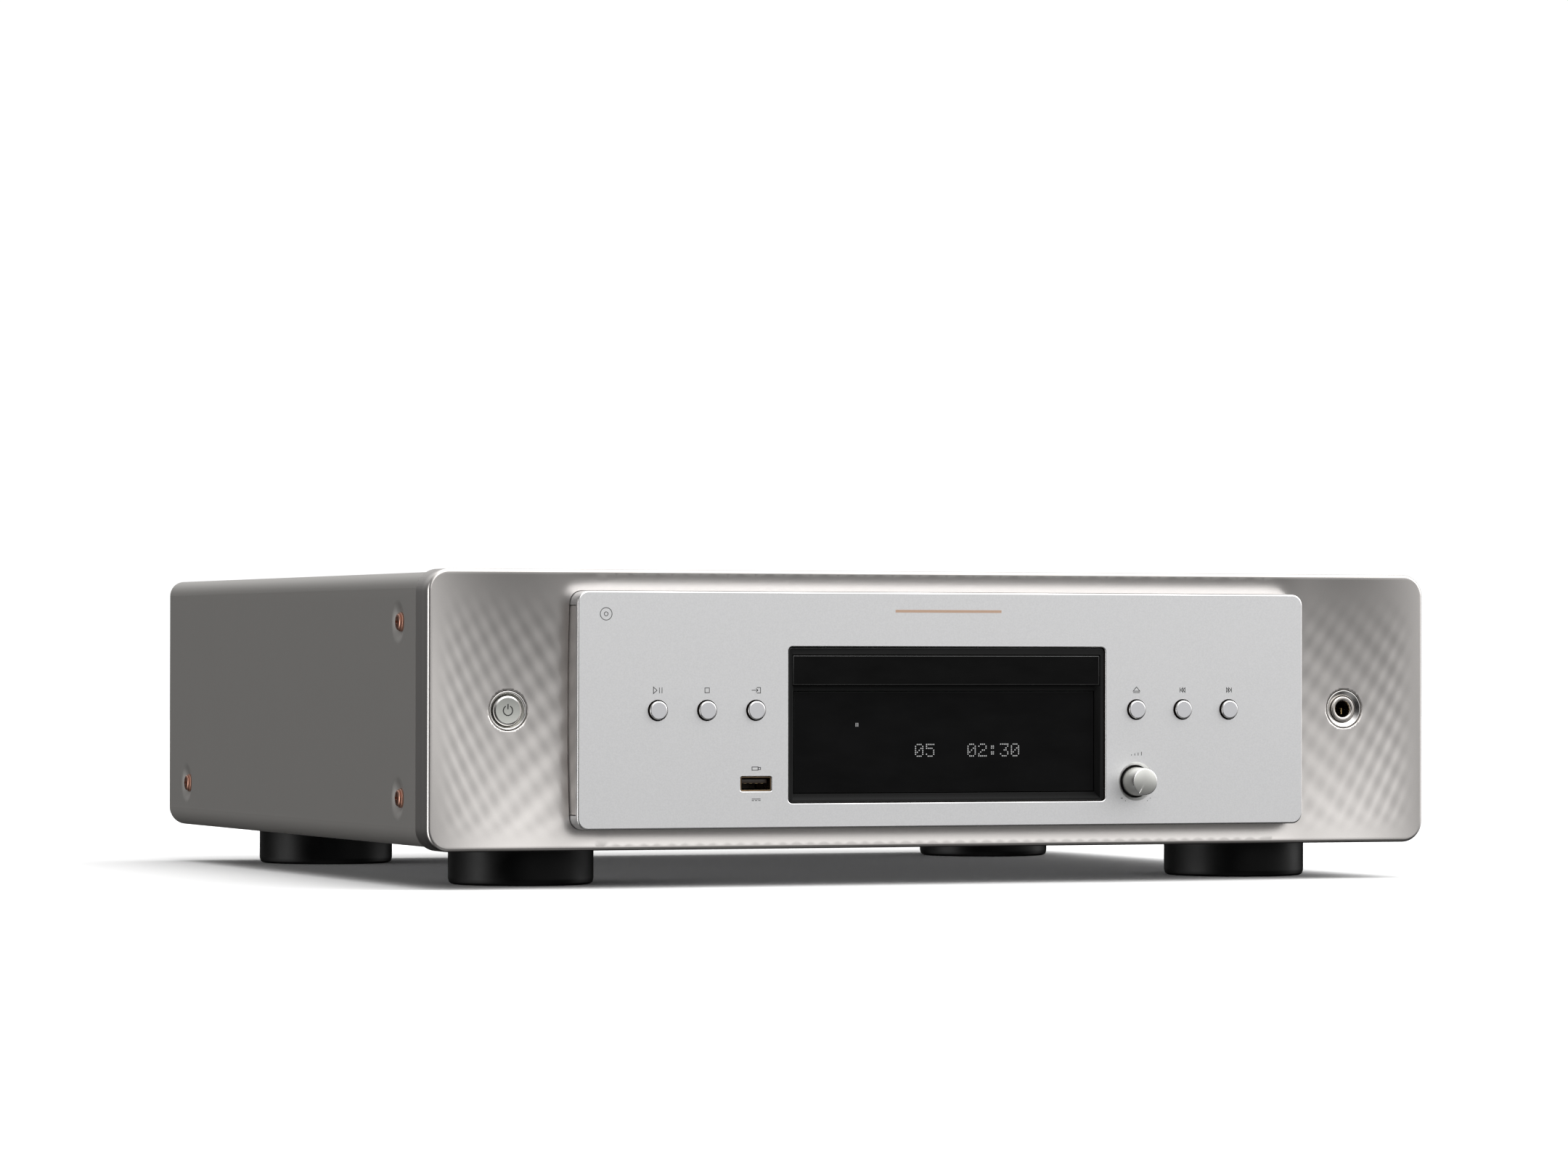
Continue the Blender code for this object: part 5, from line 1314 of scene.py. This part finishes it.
def make_cover():
    low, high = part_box("top_cover")
    lip_end = high.x - 16.8 * MM
    side_low = low.z + COVER_BOTTOM_RADIUS
    side_high = high.z - COVER_TOP_RADIUS
    bm = bmesh.new()
    for side in (-1, 1):
        spots = side_spots(side)

        def pressed(y, z):
            """How far the dimples push the side panel inwards."""
            push = 0.0
            for spot_y, spot_z in spots:
                away = math.hypot(y - spot_y, z - spot_z)
                push = max(push, DIMPLE_DEPTH * (1 - smooth_step(away, DIMPLE_FLOOR, DIMPLE_RADIUS)))
            return push

        corners = [(low.y, side_low), (high.y, side_low), (high.y, side_high), (low.y, side_high)]
        flat = [Vector(corner) for corner in corners]
        for spot in spots:
            slope = DIMPLE_RADIUS + 0.4 * MM - DIMPLE_FLOOR
            radii = [DIMPLE_FLOOR * 0.5] + [DIMPLE_FLOOR + slope * i / 9 for i in range(10)]
            for radius in (*radii, DIMPLE_RADIUS + 2 * WEAR):
                flat += [Vector(place) for place in arc(spot, radius, 0, 352.5, 47)]
        for y in (low.y + WEAR, high.y - WEAR):
            for z in (side_low + WEAR, side_high - WEAR):
                flat.append(Vector((y, z)))
        edges = [(i, (i + 1) % 4) for i in range(4)]
        found, _, faces, _, _, _ = delaunay_2d_cdt(flat, edges, [], 1, 1e-7)
        verts = [bm.verts.new((side * (high.x - pressed(*place)), *place)) for place in found]
        for face in faces:
            bm.faces.new([verts[i] for i in face])
        at = {tuple(round(c, 6) for c in place): vert for place, vert in zip(found, verts)}
        bottom = [at[tuple(round(c, 6) for c in corner)] for corner in corners[:2]]
        top = [at[tuple(round(c, 6) for c in corner)] for corner in (corners[3], corners[2])]

        def fold(start, centre_x, centre_z, radius, first, last, steps):
            """A rounded fold along the cover's length, from a row of two vertices."""
            row = start
            for i in range(1, steps + 1):
                angle = math.radians(first + (last - first) * i / steps)
                x = side * (centre_x + radius * math.cos(angle))
                z = centre_z + radius * math.sin(angle)
                new = [bm.verts.new((x, vert.co.y, z)) for vert in start]
                bm.faces.new((row[0], row[1], new[1], new[0]))
                row = new
            return row

        row = fold(bottom, high.x - COVER_BOTTOM_RADIUS, side_low, COVER_BOTTOM_RADIUS, 0, -90, 10)
        lip = [bm.verts.new((side * lip_end, vert.co.y, low.z)) for vert in row]
        bm.faces.new((row[0], row[1], lip[1], lip[0]))
        row = fold(top, high.x - COVER_TOP_RADIUS, side_high, COVER_TOP_RADIUS, 0, 90, 10)
        if side < 0:
            left_row = row
        else:
            bm.faces.new((left_row[0], left_row[1], row[1], row[0]))
    bmesh.ops.recalc_face_normals(bm, faces=bm.faces)
    upward = sum((face.normal.z * face.calc_area() for face in bm.faces), 0.0)
    if upward < 0:
        bmesh.ops.reverse_faces(bm, faces=bm.faces)
    cover = put("top_cover_detail", bm)
    cover.data.materials.append(COVER_PAINT)
    thicken = cover.modifiers.new("sheet", "SOLIDIFY")
    thicken.thickness = SHEET
    thicken.offset = -1
    settle(cover)
    shade(cover, 40)
    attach(cover, "chassis")
    stand_for("top_cover")
    flatten(cover)


def make_side_screws():
    for node in SCREWS:
        low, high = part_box(node)
        side = 1 if low.x > 0 else -1
        tip = high.x if side > 0 else -low.x
        radius = (high.y - low.y) / 2
        shank = 1.8 * MM
        seat = tip - 2.2 * MM
        end = tip - (high.x - low.x)
        profile = soft_corners([
            (0, side * tip),
            (radius * 0.72, side * (tip - 0.06 * MM)),
            (radius * 0.84, side * (tip - 0.35 * MM)),
            (radius * 0.84, side * (tip - 0.80 * MM)),
            (radius * 0.80, side * (tip - 0.95 * MM)),
            (radius * 0.97, side * (tip - 1.10 * MM)),
            (radius, side * (tip - 1.35 * MM)),
            (radius, side * seat),
            (shank, side * seat),
            (shank, side * end),
            (0, side * end),
        ], 0.12 * MM, 2)
        centre = (0, *centre_of(node)[1:])
        screw = piece(node + "_detail", turned(profile, centre, "X", 48), [COPPER], node, crease=35)
        reach = radius * 0.52
        slot = radius * 0.13
        for half_y, half_z in ((reach, slot), (slot, reach)):
            corner = Vector((side * (tip + MM), centre[1] - half_y, centre[2] - half_z))
            other = Vector((side * (tip - 0.9 * MM), centre[1] + half_y, centre[2] + half_z))
            box_low = Vector(map(min, corner, other))
            box_high = Vector(map(max, corner, other))
            cut(screw, block(box_low, box_high))
        mouth = side * (tip + 0.3 * MM)
        cone = [(0, side * (tip - 1.3 * MM)), (slot * 2.2, mouth), (0, mouth)]
        cut(screw, turned(cone, centre, "X", 16))


def make_feet():
    for node in [name for name in frame["nodes"] if name.startswith("foot_")]:
        low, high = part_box(node)
        radius = (high.x - low.x) / 2
        centre = (*centre_of(node)[:2], 0)
        profile = soft_corners([
            (0, low.z + 0.6 * MM),
            (radius - 7 * MM, low.z + 0.6 * MM),
            (radius - 6.4 * MM, low.z),
            (radius - 1.8 * MM, low.z),
            (radius - 0.5 * MM, low.z + 0.7 * MM),
            (radius, low.z + 2.4 * MM),
            (radius, high.z - 0.5 * MM),
            (radius - 0.5 * MM, high.z),
            (0, high.z),
        ], 0.5 * MM, 3)
        piece(node + "_detail", turned(profile, centre, "Z", 128), FOOT, node, crease=50)


# ---------------------------------------------------------------- rear

def rear_barrel(name, node, x, z, ring_material, metal):
    """A phono or remote socket: a barrel through the rear panel with a coloured ring."""
    back = depth_of(node)[1]
    radius = 4.2 * MM
    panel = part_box("rear_panel")[1].y - FRONT
    profile = soft_corners([
        (0, back - 8.5 * MM),
        (1.6 * MM, back - 8.5 * MM),
        (1.6 * MM, back - 1.6 * MM),
        (3.1 * MM, back - 1.4 * MM),
        (3.1 * MM, back - 0.2 * MM),
        (3.3 * MM, back),
        (radius - 0.2 * MM, back),
        (radius, back - 0.3 * MM),
        (radius, panel + 0.4 * MM),
        (radius + 2.6 * MM, panel + 0.35 * MM),
        (radius + 2.6 * MM, panel + 0.05 * MM),
        (radius, panel + 0.05 * MM),
        (radius, panel - 3 * MM),
        (0, panel - 3 * MM),
    ], 0.1 * MM, 2)
    bm = turned(profile, (x, FRONT, z), sides=48)
    bm.faces.ensure_lookup_table()
    for face in bm.faces:
        centre = face.calc_center_median()
        reach = math.hypot(centre.x - x, centre.z - z)
        behind = centre.y - FRONT
        if reach < 3.2 * MM and behind > back - 2.5 * MM or reach > radius + 0.05 * MM:
            face.material_index = 1
    piece(name, bm, [metal, ring_material], body="chassis", crease=35)


def make_rear_sockets():
    """Phono barrels, an optical port and the remote sockets."""
    for node, margin, materials in (
        ("analogue_outputs", 8 * MM, ((WHITE_RING, GOLD), (RED_RING, GOLD))),
        ("remote_jacks", 7 * MM, ((BLACK, NICKEL), (BLACK, NICKEL))),
    ):
        low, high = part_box(node)
        z = (low.z + high.z) / 2
        places = (low.x + margin, high.x - margin)
        for number, (x, (ring_material, metal)) in enumerate(zip(places, materials), 1):
            rear_barrel(f"{node}_barrel_{number}", node, x, z, ring_material, metal)
    low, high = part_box("digital_outputs")
    z = (low.z + high.z) / 2
    rear_barrel("digital_outputs_barrel", "digital_outputs", low.x + 7 * MM, z, ORANGE_RING, GOLD)
    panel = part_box("rear_panel")[1].y
    x = high.x - 7 * MM
    shutter_low = (x - 3.7 * MM, panel - 0.8 * MM, z - 3.7 * MM)
    shutter = block(shutter_low, (x + 3.7 * MM, panel + 0.9 * MM, z + 3.7 * MM), 0.3 * MM, 2)
    piece("optical_shutter", shutter, BLACK, body="chassis")


# Millimetres from the middle of the panel, and above the floor
REAR_SCREW_X = (-205, -90, 0, 90, 205)
REAR_SCREW_Z = (24, 118)
INLET_SCREW_REACH = 20 * MM


def make_rear_screws():
    """The mains inlet's two screws, then the rear panel's two rows."""
    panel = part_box("rear_panel")[1].y
    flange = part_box("ac_inlet")[1].y
    inlet_x, inlet_z = middle("ac_inlet")
    screws = [(inlet_x - INLET_SCREW_REACH, inlet_z), (inlet_x + INLET_SCREW_REACH, inlet_z)]
    for x in REAR_SCREW_X:
        for z in REAR_SCREW_Z:
            screws.append((x * MM, z * MM))
    for number, (x, z) in enumerate(screws, 1):
        seat = (flange if number <= 2 else panel) - FRONT
        profile = soft_corners([
            (0, seat - 0.5 * MM),
            (2.9 * MM, seat - 0.5 * MM),
            (2.9 * MM, seat + 0.7 * MM),
            (1.9 * MM, seat + 1.5 * MM),
            (0, seat + 1.7 * MM),
        ], 0.5 * MM, 3)
        head = turned(profile, (x, FRONT, z), sides=32)
        screw = piece(f"rear_screw_{number}", head, COPPER, body="chassis")
        for half_x, half_z in ((1.4 * MM, 0.3 * MM), (0.3 * MM, 1.4 * MM)):
            slot_low = (x - half_x, FRONT + seat + 0.8 * MM, z - half_z)
            cut(screw, block(slot_low, (x + half_x, FRONT + seat + 3 * MM, z + half_z)))


def make_rear_print():
    """Thin printed frames round the groups of sockets."""
    bm = bmesh.new()
    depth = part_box("rear_panel")[1].y - FRONT - 0.01 * MM
    for node, grow in (("analogue_outputs", 6), ("digital_outputs", 4), ("remote_jacks", 4), ("ac_inlet", 5)):
        low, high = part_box(node)
        frame_outline = between(
            (low.x - grow * MM, low.z - grow * MM), (high.x + grow * MM, high.z + grow * MM), 2 * MM, 4
        )
        ribbon(bm, frame_outline.points(), 0.35 * MM, depth, 0.04 * MM, closed=True)
    piece("rear_print", bm, PALE_INK, body="chassis")


# ---------------------------------------------------------------- tray

# (radius, depth under the tray's top) of the wells for 120 mm and 80 mm discs
DISC_WELL = (60.5 * MM, 4.0 * MM)
SMALL_DISC_WELL = (40.5 * MM, 5.0 * MM)
TRAY_SLOT_HALF = 19.5 * MM
NOTCH_REACH = 61.5 * MM
GROOVE_HALF = 11.6 * MM
GROOVE_START = 12.6 * MM


def make_tray():
    """The disc tray: two wells, the slot over the turntable and lens, notches and the gear's groove."""
    low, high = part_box("disc_tray")
    centre = (*centre_of("turntable")[:2], 0)
    disc_floor = high.z - DISC_WELL[1]
    slot_half = TRAY_SLOT_HALF
    tray = piece("disc_tray_detail", block(low, high, 0.5 * MM, 2), BLACK, "disc_tray", crease=35)
    top = high.z + 2 * MM
    lead = 0.5 * MM
    for radius, depth in (DISC_WELL, SMALL_DISC_WELL):
        floor = high.z - depth
        mouth = radius + lead
        rim = [(radius, high.z - lead), (mouth, high.z), (mouth, top), (0, top)]
        well = [(0, floor), (radius, floor), *rim]
        cut(tray, turned(well, centre, "Z", 144))
    cut(tray, block((-slot_half, centre[1], low.z - MM), (slot_half, high.y + MM, top)))
    cut(tray, turned([(0, low.z - MM), (slot_half, low.z - MM), (slot_half, top), (0, top)], centre, "Z", 64))
    for angle in (35, 145, 215, 325):
        x = centre[0] + NOTCH_REACH * math.cos(math.radians(angle))
        y = centre[1] + NOTCH_REACH * math.sin(math.radians(angle))
        notch = [(0, disc_floor), (4 * MM, disc_floor), (4 * MM, top), (0, top)]
        cut(tray, turned(notch, (x, y, 0), "Z", 32))
    gear_x, gear_y, _ = centre_of("drive_gear")
    groove_low = (gear_x - GROOVE_HALF, gear_y - GROOVE_START, low.z - MM)
    cut(tray, block(groove_low, (gear_x + GROOVE_HALF, high.y + MM, low.z + 3.2 * MM)))
    flatten(tray)


# ---------------------------------------------------------------- everything else, light and camera

def dress_frame():
    """Gives each CAD node that still shows the material of its slot."""
    for name, thing in frame["nodes"].items():
        if thing.hide_render:
            continue
        for slot in thing.material_slots:
            slot.material = SLOT_MATERIALS[SLOTS[name]]


def make_stage():
    bm = bmesh.new()
    bmesh.ops.create_grid(bm, x_segments=8, y_segments=8, size=6.0)
    floor = put("floor", bm)
    shader = Shader("floor_paper")
    shader.set(roughness=0.9, specular_ior_level=0.0)
    fibres = shader.noise(0.4, detail=3.0)
    shader.colour(shader.mix(shader.ranged(fibres, 0, 1), (0.94, 0.94, 0.94), (0.96, 0.96, 0.96)))
    floor.data.materials.append(shader.material)
    floor.visible_glossy = False
    floor.visible_diffuse = False
    floor.visible_shadow = False


BACKDROP = 1.05
# Each soft light is (degrees round from the front, degrees above the horizon, tightness, strength).
# The directions were chosen. The strengths began as a least-squares fit to the photograph's tones
# and were then changed.
SOFT_LIGHTS = (
    (0, 90, 4, 1.45),
    (0, 50, 9, 1.60),
    (60, 50, 9, 2.30),
    (120, 50, 9, 0.70),
    (180, 50, 9, 1.00),
    (0, 22, 20, 1.72),
    (60, 22, 20, 3.20),
    (90, 22, 20, 1.50),
    (180, 22, 20, 0.40),
    (-120, 22, 20, 0.18),
    (-150, 22, 20, 0.17),
    (30, 0, 20, 0.45),
    (90, 0, 20, 1.00),
    (-90, 0, 20, 3.00),
    (0, -22, 20, 0.10),
    (90, -22, 20, 0.22),
    (-90, -22, 20, 1.90),
    (-120, -22, 20, 0.48),
    (0, -60, 9, 0.30),
)


def make_world():
    """The studio's soft lights, each brightest in its own direction and fading away from it."""
    world = bpy.data.worlds.new("studio")
    bpy.context.scene.world = world
    world.use_nodes = True
    tree = world.node_tree
    direction = tree.nodes.new("ShaderNodeTexCoord").outputs["Generated"]

    def maths(operation, *values):
        node = tree.nodes.new("ShaderNodeMath")
        node.operation = operation
        for value, socket in zip(values, node.inputs):
            if isinstance(value, (int, float)):
                socket.default_value = value
            else:
                tree.links.new(value, socket)
        return node.outputs[0]

    total = None
    for azimuth, elevation, tightness, strength in SOFT_LIGHTS:
        across = math.radians(azimuth)
        up = math.radians(elevation)
        towards = tree.nodes.new("ShaderNodeVectorMath")
        towards.operation = "DOT_PRODUCT"
        axis = (math.sin(across) * math.cos(up), -math.cos(across) * math.cos(up), math.sin(up))
        towards.inputs[1].default_value = axis
        tree.links.new(direction, towards.inputs[0])
        facing = maths("MAXIMUM", towards.outputs["Value"], 0.0)
        lobe = maths("MULTIPLY", maths("POWER", facing, tightness), strength)
        total = maths("ADD", total, lobe) if total else lobe
    seen = tree.nodes.new("ShaderNodeLightPath").outputs["Is Camera Ray"]
    backdrop = maths("MULTIPLY", seen, BACKDROP)
    lit = maths("MULTIPLY", total, maths("SUBTRACT", 1.0, seen))
    tree.links.new(maths("ADD", backdrop, lit), tree.nodes["Background"].inputs["Strength"])
    tree.nodes["Background"].inputs["Color"].default_value = (1, 1, 1, 1)


# Solved from the photograph's straight edges
CAMERA_PLACE = (-0.95852, FRONT - 2.27148, 0.09290)
CAMERA_YAW = 0.3731
CAMERA_RISE = 0.0115
CAMERA_ROLL = 0.0015
CAMERA_LENS = 138.0
CAMERA_SENSOR = 36.0


def make_camera():
    camera = bpy.data.cameras.new("camera")
    camera.sensor_width = CAMERA_SENSOR
    camera.lens = CAMERA_LENS
    camera.clip_end = 50.0
    holder = bpy.data.objects.new("camera", camera)
    turn = Matrix.Rotation(-CAMERA_YAW, 4, "Z") @ Matrix.Rotation(math.pi / 2 + CAMERA_RISE, 4, "X")
    holder.matrix_world = Matrix.Translation(CAMERA_PLACE) @ turn @ Matrix.Rotation(CAMERA_ROLL, 4, "Z")
    bpy.context.scene.collection.objects.link(holder)
    bpy.context.scene.camera = holder
    bpy.context.scene.view_settings.view_transform = "Standard"


make_fascia()
make_centre_plate()
make_window_trim()
make_display()
make_buttons()
make_knob()
make_power_button()
make_headphone_jack()
make_usb_port()
make_marks()
make_cover()
make_side_screws()
make_feet()
make_rear_sockets()
make_rear_screws()
make_rear_print()
make_tray()
dress_frame()
make_stage()
make_world()
make_camera()
